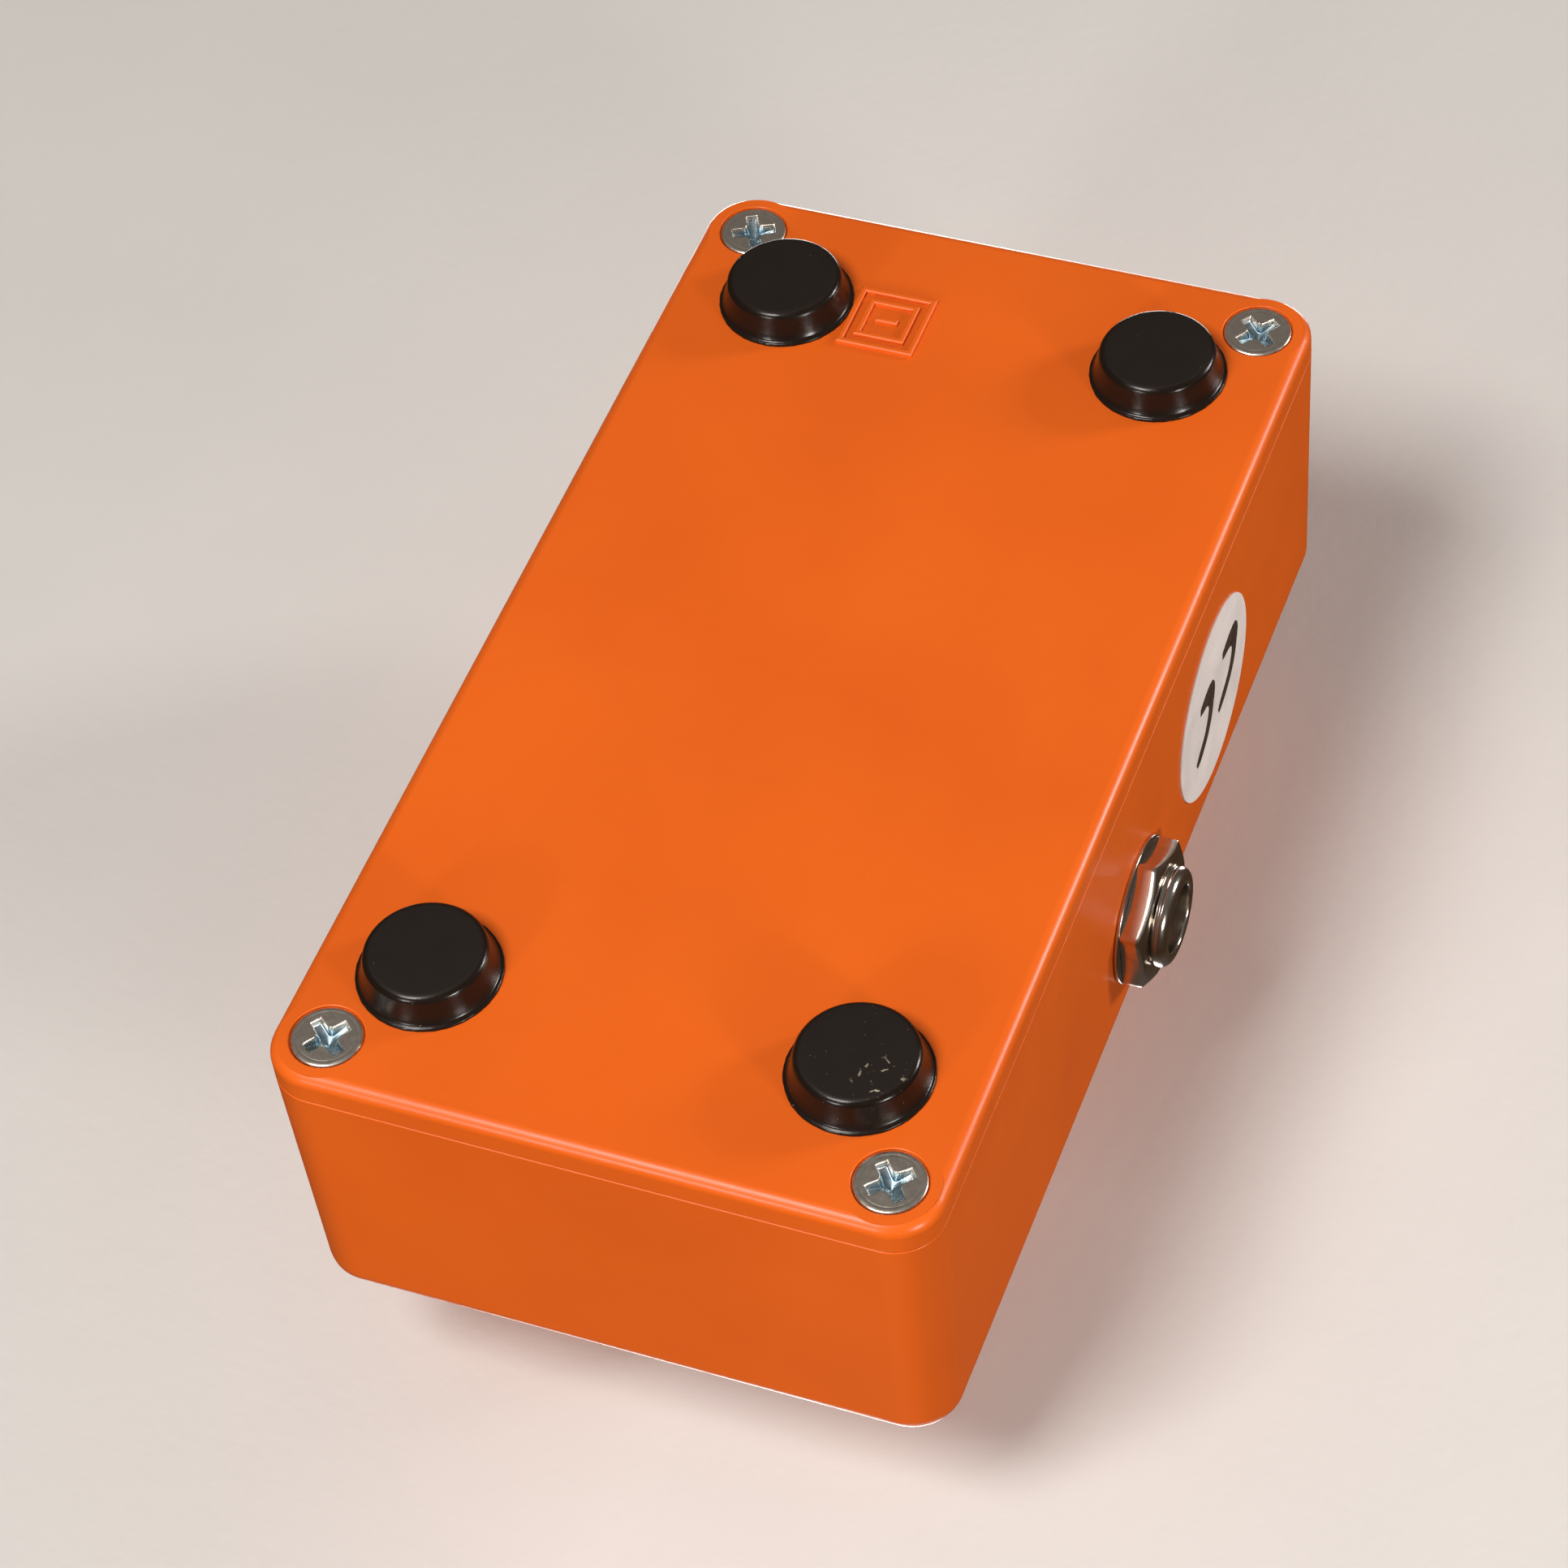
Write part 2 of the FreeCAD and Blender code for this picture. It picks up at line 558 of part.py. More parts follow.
def lies_at(height):
    """A test for the edges that lie flat at a height."""
    level = sheet_number(height)
    return lambda edge: edge.BoundBox.ZLength < 0.01 and abs(edge.BoundBox.ZMax - level) < 0.01


def turned(name, points):
    """A body turned about Z from an outline of radius and height pairs."""
    owner = body(name)
    profile = sketch(owner, f"{name}_profile", "XZ_Plane")
    outline(profile, points)
    item = owner.newObject("PartDesign::Revolution", f"{name}_turn")
    item.Profile = profile
    item.ReferenceAxis = (profile, ["V_Axis"])
    item.Angle = 360
    DOC.recompute()
    return owner


def ring(name, outer, inner, thick):
    """A flat washer, turned from a rectangle."""
    rim, hole = f"({outer}) / 2", f"({inner}) / 2"
    return turned(name, [(hole, "0"), (rim, "0"), (rim, thick), (hole, thick)])


def hex_nut(name, flats, thick, thread):
    """A nut with chamfered corners whose bore runs on its bushing's thread."""
    corner = f"(({flats}) / sqrt(3))"
    steep = "tan(60 deg)"
    prism = DOC.addObject("Part::Prism", f"{name}_prism")
    prism.Polygon = 6
    bind(prism, Circumradius=corner, Height=thick)
    cone = DOC.addObject("Part::Cone", f"{name}_chamfer")
    crown = f"(0.485 * ({flats}))"
    bind(cone, Radius1=f"{crown} + ({thick}) * {steep}", Radius2=crown, Height=thick)
    crowned = DOC.addObject("Part::Common", f"{name}_crowned")
    crowned.Base = prism
    crowned.Tool = cone
    hole = rod(f"{name}_hole", f"({thread}) + 2 * thread_slack", f"({thick}) + 2 * overcut",
               z="-overcut")
    return cut(name, crowned, hole)


def make_enclosure():
    """The die-cast box: drafted walls, a rounded top, screw bosses and its panel holes."""
    box = body("enclosure_body")
    face = sketch(box, "box_outline", "XY_Plane", JOINT)
    rectangle(face, "box_wide", "box_long")
    walls = pad(box, face, f"{TOP} - {JOINT}", "-draft")
    corners = soften(box, walls, "corner_round", is_upright)
    crown = soften(box, corners, "top_round", lies_at(TOP))
    soften(box, crown, "joint_round", lies_at(JOINT))
    hollow = sketch(box, "hollow_outline", "XY_Plane", JOINT)
    rectangle(hollow, "box_wide - 2 * wall", "box_long - 2 * wall")
    pocket(box, hollow, f"{CEILING} - {JOINT}", upward=True, taper="-draft")
    bosses = sketch(box, "boss_outline", "XY_Plane", JOINT)
    screw_circles(bosses, "boss_dia")
    pad(box, bosses, f"{CEILING} - {JOINT}")
    pilots = sketch(box, "pilot_outline", "XY_Plane", JOINT)
    screw_circles(pilots, "screw_dia + 2 * thread_slack")
    pocket(box, pilots, "screw_long - lid_deep + 2 * overcut", upward=True)
    panel = sketch(box, "panel_holes", "XY_Plane", TOP)
    circle(panel, "pot_thread + 2 * panel_slack", "0", POT_Y)
    circle(panel, "bezel_tube + 2 * panel_slack", "0", LAMP_Y)
    circle(panel, "switch_thread + 2 * panel_slack", "0", SWITCH_Y)
    pocket(box, panel, "top_wall + overcut")
    jacks = sketch(box, "jack_holes", "YZ_Plane", "box_wide / 2 + overcut")
    circle(jacks, "jack_thread + 2 * panel_slack", JACK_Y, JACK_Z)
    pocket(box, jacks, "box_wide + 2 * overcut")
    socket = sketch(box, "socket_hole", "YZ_Plane", "0")
    circle(socket, "socket_snout + 2 * panel_slack", SOCKET_Y, JACK_Z)
    pocket(box, socket, "box_wide / 2 + overcut")
    return sub_part(box)


def is_sink_mouth(edge):
    """The mouth of a screw's countersink in the base plate's outer face."""
    if not lies_at(LID)(edge) or not isinstance(edge.Curve, Part.Circle):
        return False
    return abs(edge.Curve.Radius - sheet_number("head_dia / 2 + screw_slack")) < 0.01


def make_base_plate():
    """The screwed-on base plate, with a rim, screw lands, locating ribs and a raised mark."""
    plate = body("base_plate")
    face = sketch(plate, "plate_outline", "XY_Plane", LID)
    rectangle(face, "box_wide", "box_long")
    slab = pad(plate, face, "lid_deep")
    corners = soften(plate, slab, "corner_round", is_upright)
    crown = soften(plate, corners, "lid_round", lies_at(LID))
    soften(plate, crown, "joint_round", lies_at(JOINT))
    tray = sketch(plate, "tray_outline", "XY_Plane", JOINT)
    rectangle(tray, "box_wide - 2 * wall", "box_long - 2 * wall")
    pocket(plate, tray, "lid_deep - lid_thick")
    lands = sketch(plate, "land_outline", "XY_Plane", LID)
    screw_circles(lands, "land_dia")
    pad(plate, lands, "lid_deep")
    ribs = sketch(plate, "rib_outline", "XY_Plane", LID_INSIDE)
    side_x = "(box_wide / 2 - wall - rib_slack - rib_thick / 2)"
    end_y = "(box_long / 2 - wall - rib_slack - rib_thick / 2)"
    side_long = "(box_long - 4 * screw_inset - boss_dia - rib_end)"
    end_long = "(box_wide - 4 * screw_inset - boss_dia - rib_end)"
    for side in (-1, 1):
        rectangle(ribs, "rib_thick", side_long, f"{side} * {side_x}", "0")
        rectangle(ribs, end_long, "rib_thick", "0", f"{side} * {end_y}")
    pad(plate, ribs, "lid_deep - lid_thick + rib_high")
    mark_bottom = f"{LID} - mark_high"
    mark = sketch(plate, "mark_outline", "XY_Plane", mark_bottom)
    rectangle(mark, "mark_side", "mark_side", *MARK)
    rectangle(mark, "mark_side - 2 * mark_line", "mark_side - 2 * mark_line", *MARK)
    rectangle(mark, "mark_inner", "mark_inner", *MARK)
    rectangle(mark, "mark_inner - 2 * mark_line", "mark_inner - 2 * mark_line", *MARK)
    rectangle(mark, "mark_bar", "mark_line", *MARK)
    raised = pad(plate, mark, f"mark_high + {EMBED}")
    soften(plate, raised, "mark_round", lies_at(mark_bottom))
    holes = sketch(plate, "screw_holes", "XY_Plane", JOINT)
    screw_circles(holes, "screw_dia + 2 * screw_slack")
    pocket(plate, holes, "lid_deep")
    sinks = sketch(plate, "countersinks", "XY_Plane", f"{LID} + head_rim")
    screw_circles(sinks, "head_dia + 2 * screw_slack")
    lean = "atan((head_dia - screw_dia) / 2 / head_deep)"
    pocket(plate, sinks, "head_deep", upward=True, taper=f"-{lean} / 1 deg")
    rims = sketch(plate, "head_rims", "XY_Plane", f"{LID} - overcut")
    screw_circles(rims, "head_dia + 2 * screw_slack")
    mouths = pocket(plate, rims, "overcut + head_rim", upward=True)
    soften(plate, mouths, "sink_round", is_sink_mouth)
    return sub_part(plate)


def make_screws():
    """Four countersunk cross-recess screws, each turned differently."""
    screws = []
    for number, (side, end, turn) in enumerate(SCREWS, start=1):
        name = f"screw_{number}"
        rim = rod(f"{name}_rim", "head_dia", "head_rim")
        cone = DOC.addObject("Part::Cone", f"{name}_cone")
        bind(cone, Radius1="head_dia / 2", Radius2="screw_dia / 2", Height="head_deep")
        place(cone, z="head_rim")
        shank = rod(f"{name}_shank", "screw_dia", "screw_long - head_rim - head_deep - screw_tip",
                    z="head_rim + head_deep")
        tip = DOC.addObject("Part::Cone", f"{name}_tip")
        bind(tip, Radius1="screw_dia / 2", Radius2="screw_point / 2", Height="screw_tip")
        place(tip, z="screw_long - screw_tip")
        deep = "recess_deep + overcut"
        wings = [
            block(f"{name}_wing_a", "recess_wide", "recess_span", deep, z="-overcut"),
            block(f"{name}_wing_b", "recess_span", "recess_wide", deep, z="-overcut"),
        ]
        screw = cut(name, join(f"{name}_solid", rim, cone, shank, tip), *wings)
        spin = FreeCAD.Rotation(FreeCAD.Vector(0, 0, 1), turn)
        place(screw, f"{side} * {SCREW_X}", f"{end} * {SCREW_Y}", LID, spin)
        screws.append(screw)
    return sub_part(group("base_screws", screws))


def make_feet():
    """Four stuck-on rubber feet, set by hand and so not quite square."""
    corners = (("head_left", -1, 1), ("head_right", 1, 1), ("foot_right", 1, -1), ("foot_left", -1, -1))
    for corner, side, end in corners:
        x = f"{side} * (box_wide / 2 - {corner}_side)"
        y = f"{end} * (box_long / 2 - {corner}_end)"
        foot = turned(f"rubber_foot_{corner}", [
            ("0", "0"),
            ("foot_tip_dia / 2", "0"),
            ("foot_dia / 2 - foot_lip", "foot_high - foot_lip_thick"),
            ("foot_dia / 2", "foot_high - foot_lip_thick"),
            ("foot_dia / 2", "foot_high"),
            ("0", "foot_high"),
        ])
        soften(foot, foot.Tip, "foot_round", lies_at("0"))
        sub_part(place(foot, x, y, "0"))


def make_label():
    """A thin round label stuck flat on the drafted right wall."""
    label = turned("side_label", [
        ("0", "label_lift"),
        ("label_dia / 2", "label_lift"),
        ("label_dia / 2", "label_lift + label_thick"),
        ("0", "label_lift + label_thick"),
    ])
    lean = FreeCAD.Rotation(FreeCAD.Vector(0, 1, 0), 90 - sheet_number("draft"))
    height = f"({LID} + label_up)"
    return sub_part(place(label, wall_face(height), f"{JACK_Y} - label_gap", height, lean))


JACK_SEAT = wall_face(f"{JACK_Z} - jack_washer / 2")
JACK_INSIDE = f"({wall_face(f'{JACK_Z} + jack_body / 2')} - wall - seat_gap)"
JACK_GRIP = f"({JACK_SEAT} - {JACK_INSIDE})"


def make_jack(name, side, turn):
    """One quarter-inch jack: housing, threaded bushing, contact strips, washer and nut."""
    flange = f"({JACK_GRIP} + jack_flange_thick)"
    tip = "(jack_thread / 2 - jack_chamfer)"
    seat = f"{side} * {JACK_SEAT}"
    bushing = turned(f"{name}_bushing", [
        ("jack_bore / 2", f"-{flange}"),
        ("jack_flange / 2", f"-{flange}"),
        ("jack_flange / 2", f"-{JACK_GRIP}"),
        ("jack_thread / 2", f"-{JACK_GRIP}"),
        ("jack_thread / 2", "jack_reach - jack_chamfer"),
        (tip, "jack_reach"),
        ("jack_bore / 2", "jack_reach"),
    ])
    washer = ring(f"{name}_washer", "jack_washer", "jack_thread + 2 * washer_slack",
                  "jack_washer_thick")
    nut = hex_nut(f"{name}_nut", "jack_nut", "jack_nut_thick", "jack_thread")
    shell = block(f"{name}_shell", "jack_body", "jack_body", "jack_deep", z="-jack_deep")
    channel = rod(f"{name}_channel", "jack_bore + 2 * plug_room", "jack_deep - jack_back + overcut",
                  z="jack_back - jack_deep")
    strip_at = "(jack_bore / 2 + plug_room + strip_gap + strip_thick / 2)"
    slots = []
    strips = []
    for number, way in enumerate((-1, 1)):
        slots.append(block(f"{name}_slot_{number}", "slot_thick", "slot_wide",
                           "jack_deep - slot_shy + overcut",
                           f"{way} * {strip_at}", "0", "-jack_deep - overcut"))
        strips.append(block(f"{name}_strip_{number}", "strip_thick", "strip_wide",
                            "jack_deep - strip_shy + lug_long", f"{way} * {strip_at}", "0",
                            "-jack_deep - lug_long"))
    housing = cut(f"{name}_housing", shell, channel, *slots)
    contacts = group(f"{name}_contacts", strips)
    inner = f"{side} * ({JACK_SEAT} - {flange})"
    around = FreeCAD.Rotation(FreeCAD.Vector(0, 0, 1), sheet_number("nut_turn"))
    sub_part(place(bushing, seat, JACK_Y, JACK_Z, turn))
    sub_part(place(washer, seat, JACK_Y, JACK_Z, turn))
    beyond = f"{side} * ({JACK_SEAT} + jack_washer_thick)"
    sub_part(place(nut, beyond, JACK_Y, JACK_Z, turn.multiply(around)))
    sub_part(place(housing, inner, JACK_Y, JACK_Z, turn))
    sub_part(place(contacts, inner, JACK_Y, JACK_Z, turn))


SOCKET_INSIDE = f"({wall_face(f'{JACK_Z} + socket_body / 2')} - wall - seat_gap)"


def make_power_socket():
    """The power socket in the left wall: housing with snout, centre pin and spring contact."""
    reach = f"({wall_face(JACK_Z)} + socket_reach - {SOCKET_INSIDE})"
    case = block("socket_case", "socket_body", "socket_body", "socket_deep", z="-socket_deep")
    snout = rod("socket_snout_rod", "socket_snout", f"{reach} + overcut", z="-overcut")
    bore = rod("socket_bore_rod", "socket_bore", f"{reach} + socket_deep",
               z="socket_back - socket_deep")
    leaf_at = "(socket_bore / 2 + leaf_thick)"
    slot = block("socket_slot", "leaf_slot_thick", "leaf_slot_wide",
                 "socket_deep - leaf_slot_shy + overcut", leaf_at, "0", "-socket_deep - overcut")
    housing = cut("power_socket_housing", join("socket_solid", case, snout), bore, slot)
    stalk = rod("socket_stalk", "socket_pin",
                f"{reach} - pin_shy + socket_deep - socket_back", z="socket_back - socket_deep")
    pin = DOC.addObject("Part::Fillet", "power_socket_pin")
    pin.Base = stalk
    DOC.recompute()
    radius = sheet_number("pin_round")
    pin.Edges = [
        (number, radius, radius)
        for number, edge in enumerate(stalk.Shape.Edges, start=1)
        if edge.BoundBox.ZLength < 0.01 and edge.BoundBox.ZMax > 0
    ]
    leaf = block("power_socket_leaf", "leaf_thick", "leaf_wide",
                 "socket_deep - leaf_shy + lug_long", leaf_at, "0", "-socket_deep - lug_long")
    spring = group("power_socket_spring", [leaf])
    inner = f"-{SOCKET_INSIDE}"
    for item in (housing, pin, spring):
        sub_part(place(item, inner, SOCKET_Y, JACK_Z, LEFTWARD))


def make_rate_control():
    """The rotary control: can, track wafer, bushing and plate, shaft, washer and nut."""
    can = turned("pot_can_cup", [
        ("0", "-pot_deep"),
        ("pot_dia / 2", "-pot_deep"),
        ("pot_dia / 2", "-plate_thick"),
        ("pot_dia / 2 - can_wall", "-plate_thick"),
        ("pot_dia / 2 - can_wall", "can_wall - pot_deep"),
        ("0", "can_wall - pot_deep"),
    ])
    gap = block("pot_can_gap", "2 * (pot_lug_gap + pot_pin_wide)", "pot_dia / 2",
                "wafer_thick + 2 * seat_gap", "0", "-pot_dia / 2",
                "-wafer_drop - wafer_thick / 2 - seat_gap")
    case = cut("pot_can", can, gap)
    plate_edge = "pot_dia / 2 - can_wall - seat_gap"
    bushing = turned("pot_bushing", [
        ("shaft_dia / 2 + run_gap", "-plate_thick"),
        (plate_edge, "-plate_thick"),
        (plate_edge, "-run_gap"),
        ("pot_thread / 2", "-run_gap"),
        ("pot_thread / 2", "top_wall + pot_reach - pot_thread_end"),
        ("pot_thread / 2 - pot_thread_end", "top_wall + pot_reach"),
        ("shaft_dia / 2 + run_gap", "top_wall + pot_reach"),
    ])
    disc = ring("pot_disc", "pot_dia - 2 * can_wall - disc_gap", "shaft_dia + 2 * disc_gap",
                "wafer_thick")
    place(disc, z="-wafer_drop - wafer_thick / 2")
    pins = []
    pin_y = "-(pot_dia / 2 + pot_pin_out)"
    pin_foot = f"({BOARD_TOP} - {CEILING})"
    for step in (-1, 0, 1):
        x = f"{step} * pot_lug_gap"
        pins.append(block(f"pot_tab_{step + 2}", "pot_pin_wide", "3 * pot_pin_out", "pot_pin_thick",
                          x, f"{pin_y} + (3 * pot_pin_out - pot_pin_thick) / 2",
                          "-wafer_drop - pot_pin_thick / 2"))
        pins.append(block(f"pot_pin_{step + 2}", "pot_pin_wide", "pot_pin_thick",
                          f"-wafer_drop + pot_pin_thick / 2 - {pin_foot}", x, pin_y, pin_foot))
    wafer = join("pot_wafer", disc, *pins)
    shaft_top = "top_wall + control_high - knob_roof"
    shaft = turned("pot_shaft_blank", [
        ("0", "rotor_up - pot_deep"),
        ("rotor_dia / 2", "rotor_up - pot_deep"),
        ("rotor_dia / 2", "rotor_up - pot_deep + rotor_thick"),
        ("shaft_dia / 2", "rotor_up - pot_deep + rotor_thick"),
        ("shaft_dia / 2", f"{shaft_top} - shaft_end"),
        ("shaft_dia / 2 - shaft_end", shaft_top),
        ("0", shaft_top),
    ])
    split = block("pot_split", "split_wide", "shaft_dia + overcut", "split_deep + overcut",
                  "0", "0", f"{shaft_top} - split_deep")
    spindle = cut("pot_shaft", shaft, split)
    for item in (case, bushing, wafer, spindle):
        sub_part(place(item, "0", POT_Y, CEILING))
    washer = ring("pot_washer", "pot_washer", "pot_thread + 2 * washer_slack", "pot_washer_thick")
    sub_part(place(washer, "0", POT_Y, TOP))
    nut = hex_nut("pot_nut", "pot_nut", "pot_nut_thick", "pot_thread")
    sub_part(place(nut, "0", POT_Y, f"{TOP} + pot_washer_thick"))


def make_knob():
    """The fluted knob with its skirt, the pointer line let into it, and its set screw."""
    low = f"({TOP} + knob_gap)"
    top = "(control_high - knob_gap)"
    roof = "(pot_reach + knob_clear - knob_gap)"
    knob = turned("knob_blank", [
        ("shaft_dia / 2 + knob_fit", roof),
        ("knob_hollow / 2", roof),
        ("knob_hollow / 2", "0"),
        ("skirt_dia / 2 - skirt_foot", "0"),
        ("skirt_dia / 2", "skirt_foot"),
        ("skirt_dia / 2", "skirt_high - skirt_slope"),
        ("knob_dia / 2 + skirt_step", "skirt_high"),
        ("knob_dia / 2", "skirt_high + skirt_step"),
        ("knob_tip_dia / 2", top),
        ("0", top),
        ("0", f"{top} - knob_roof"),
        ("shaft_dia / 2 + knob_fit", f"{top} - knob_roof"),
    ])
    soften(knob, knob.Tip, "knob_round", lies_at(top))
    flute = sketch(knob, "flute_outline", "XY_Plane", top)
    circle(flute, "flute_dia", "knob_dia / 2 + flute_out", "0")
    groove = pocket(knob, flute, f"{top} - skirt_high - flute_foot")
    flutes = knob.newObject("PartDesign::PolarPattern", "flute_pattern")
    flutes.Originals = [groove]
    axes = {feature.Role: feature for feature in knob.Origin.OriginFeatures}
    flutes.Axis = (axes["Z_Axis"], [""])
    flutes.Angle = 360
    flutes.Occurrences = FLUTES
    knob.Tip = flutes
    DOC.recompute()
    line_long = "(knob_tip_dia / 2 - line_end - line_start)"
    line_y = f"(line_start + {line_long} / 2)"
    line_groove = block("line_groove", "line_wide", line_long, "line_deep + overcut",
                        "0", line_y, f"{top} - line_deep")
    grub_z = f"({top} - grub_drop)"
    tapped = rod("grub_hole", "grub_dia + 2 * thread_slack", "knob_dia", "0", "0", grub_z, FOOTWARD)
    finished = cut("rate_knob", knob, line_groove, tapped)
    sub_part(place(finished, "0", POT_Y, low))
    line = block("knob_line", "line_wide - 2 * line_fit", f"{line_long} - 2 * line_fit", "line_deep",
                 "0", f"{POT_Y} + {line_y}", f"{low} + {top} - line_deep")
    sub_part(line)
    grub_y = f"({POT_Y} - shaft_dia / 2 - run_gap)"
    grub_long = "(knob_tip_dia / 2 - shaft_dia / 2 - grub_sunk)"
    pin = rod("grub_pin", "grub_dia", grub_long, "0", grub_y, f"{low} + {grub_z}", FOOTWARD)
    key = DOC.addObject("Part::Prism", "grub_key_socket")
    key.Polygon = 6
    bind(key, Circumradius="grub_key / 2", Height="grub_key_deep + overcut")
    place(key, "0", f"{grub_y} - {grub_long} + grub_key_deep", f"{low} + {grub_z}", FOOTWARD)
    sub_part(cut("knob_set_screw", pin, key))


def make_spring():
    """The return spring: square wire swept along a helix between case and plunger."""
    helix = DOC.addObject("Part::Helix", "spring_path")
    rise = f"({STOP_BOTTOM} - {SPRING_FOOT} - spring_wire - 2 * spring_gap)"
    bind(helix, Radius="spring_dia / 2", Height=rise, Pitch=f"{rise} / spring_turns")
    section = DOC.addObject("Part::Plane", "spring_section")
    bind(section, Length="spring_wire", Width="spring_wire")
    place(section, x="(spring_dia - spring_wire) / 2", z="-spring_wire / 2", turn=FOOTWARD)
    coil = DOC.addObject("Part::Sweep", "switch_spring")
    coil.Sections = [section]
    coil.Spine = (helix, ["Edge1"])
    coil.Solid = True
    coil.Frenet = True
    return sub_part(place(coil, "0", SWITCH_Y, f"{SPRING_FOOT} + spring_wire / 2 + spring_gap"))


def make_footswitch():
    """The stomp switch: case, bushing and plate, clips, lugs, nuts, washers, spring, plunger."""
    bushing = turned("switch_barrel", [
        ("stem_dia / 2 + run_gap", f"{CASE_TOP}"),
        ("switch_thread / 2", f"{CASE_TOP}"),
        ("switch_thread / 2", f"{TOP} + switch_reach - switch_thread_end"),
        ("switch_thread / 2 - switch_thread_end", f"{TOP} + switch_reach"),
        ("stem_dia / 2 + run_gap", f"{TOP} + switch_reach"),
    ])
    plate_side = "switch_body - 2 * plate_shy"
    plate = block("switch_plate_box", plate_side, plate_side, "switch_plate", z=CASE_TOP)
    plate_hole = rod("switch_plate_hole", "(stem_dia + switch_thread) / 2",
                     "switch_plate + 2 * overcut", z=f"{CASE_TOP} - overcut")
    mount = join("switch_bushing", bushing, cut("switch_plate_ring", plate, plate_hole))
    solid = block("switch_case_box", "switch_body", "switch_body", "switch_deep", z=CASE_BOTTOM)
    hollow = rod("switch_hollow", "stop_dia + 2 * hollow_gap", "switch_deep", z=SPRING_FOOT)
    case = cut("switch_case", solid, hollow)
    washer = ring("switch_lock_washer", "switch_nut + 2 * lock_washer_out",
                  "switch_thread + 2 * washer_slack", "lock_washer_thick")
    lower = hex_nut("switch_lower_nut", "switch_nut", "lower_nut_thick", "switch_thread")
    trim = ring("switch_trim_washer", "trim_washer", "switch_thread + 2 * washer_slack",
                "trim_washer_thick")
    upper = hex_nut("switch_upper_nut", "switch_nut", "upper_nut_thick", "switch_thread")
    for item in (mount, case):
        sub_part(place(item, "0", SWITCH_Y, "0"))
    sub_part(place(washer, "0", SWITCH_Y, f"{CEILING} - lock_washer_thick"))
    sub_part(place(lower, "0", SWITCH_Y, SWITCH_TOP))
    sub_part(place(trim, "0", SWITCH_Y, TOP))
    twist = FreeCAD.Rotation(FreeCAD.Vector(0, 0, 1), sheet_number("upper_nut_turn"))
    sub_part(place(upper, "0", SWITCH_Y, f"{TOP} + trim_washer_thick", twist))
    clip_foot = f"{CASE_BOTTOM} - clip_gap - clip_thick"
    clips = []
    for number, side in enumerate((-1, 1)):
        leg_x = f"{side} * (switch_body / 2 + clip_gap + clip_thick / 2)"
        hook_x = f"{side} * (switch_body / 2 + clip_gap + (clip_thick - clip_hook) / 2)"
        clips.append(join(
            f"clip_{number}",
            block(f"clip_{number}_leg", "clip_thick", "clip_wide",
                  f"{SWITCH_TOP} - {CASE_BOTTOM} + clip_thick", leg_x, SWITCH_Y, clip_foot),
            block(f"clip_{number}_hook", "clip_hook + clip_thick", "clip_wide", "clip_thick",
                  hook_x, SWITCH_Y, clip_foot),
        ))
    sub_part(group("switch_clips", clips))
    lugs = [
        block(f"switch_lug_{3 * across + along + 5}", "switch_lug_wide", "switch_lug_thick",
              "switch_lug_long", f"{across} * switch_lug_x",
              f"{SWITCH_Y} + {along} * switch_lug_y", f"{CASE_BOTTOM} - switch_lug_long")
        for across in (-1, 0, 1)
        for along in (-1, 0, 1)
    ]
    sub_part(group("switch_lugs", lugs))
    cap_bottom = f"{CONTROL_TOP} - cap_high"
    plunger = turned("switch_plunger", [
        ("0", STOP_BOTTOM),
        ("stop_dia / 2", STOP_BOTTOM),
        ("stop_dia / 2", STOP_TOP),
        ("stem_dia / 2", STOP_TOP),
        ("stem_dia / 2", cap_bottom),
        ("cap_dia / 2 - cap_foot", cap_bottom),
        ("cap_dia / 2", f"{cap_bottom} + cap_foot"),
        ("cap_dia / 2", CONTROL_TOP),
        ("0", CONTROL_TOP),
    ])
    soften(plunger, plunger.Tip, "cap_round", lies_at(CONTROL_TOP))
    sub_part(place(plunger, "0", SWITCH_Y, "0"))
    make_spring()


def make_lamp():
    """The status lamp: domed lens, bezel and two leads down to the board."""
    lens = turned("lamp_lens", [
        ("0", "-lamp_deep"),
        ("lamp_dia / 2 + lamp_rim", "-lamp_deep"),
        ("lamp_dia / 2 + lamp_rim", "lamp_rim_thick - lamp_deep"),
        ("lamp_dia / 2", "lamp_rim_thick - lamp_deep"),
        ("lamp_dia / 2", "lamp_high"),
        ("0", "lamp_high"),
    ])
    soften(lens, lens.Tip, "lamp_dia / 2 - lamp_tip", lies_at("lamp_high"))
    bezel = turned("lamp_bezel", [
        ("lamp_dia / 2 + lamp_fit", "bezel_shy - lamp_deep"),
        ("bezel_tube / 2", "bezel_shy - lamp_deep"),
        ("bezel_tube / 2", "0"),
        ("bezel_dia / 2", "0"),
        ("bezel_dia / 2", "bezel_lip"),
        ("bezel_tube / 2", "bezel_rim"),
        ("lamp_dia / 2 + lamp_fit", "bezel_rim - bezel_lip"),
    ])
    for item in (lens, bezel):
        sub_part(place(item, "0", LAMP_Y, TOP))
    leads = [
        rod(f"lamp_lead_{number}", "lead_dia", f"{TOP} - lamp_deep - {BOARD_TOP}",
            f"{side} * lead_gap / 2", LAMP_Y, BOARD_TOP)
        for number, side in enumerate((-1, 1), start=1)
    ]
    sub_part(group("lamp_leads", leads))


def make_board():
    """The circuit board, parts side down, and the foam pad on the base plate below it."""
    sub_part(block("circuit_board", "board_wide", "board_long", "board_thick",
                   "0", BOARD_Y, BOARD_Z))
    sub_part(block("board_pad", "board_wide - 2 * pad_shy", "board_long - 2 * pad_end_shy",
                   "pad_thick", "0", BOARD_Y, LID_INSIDE))


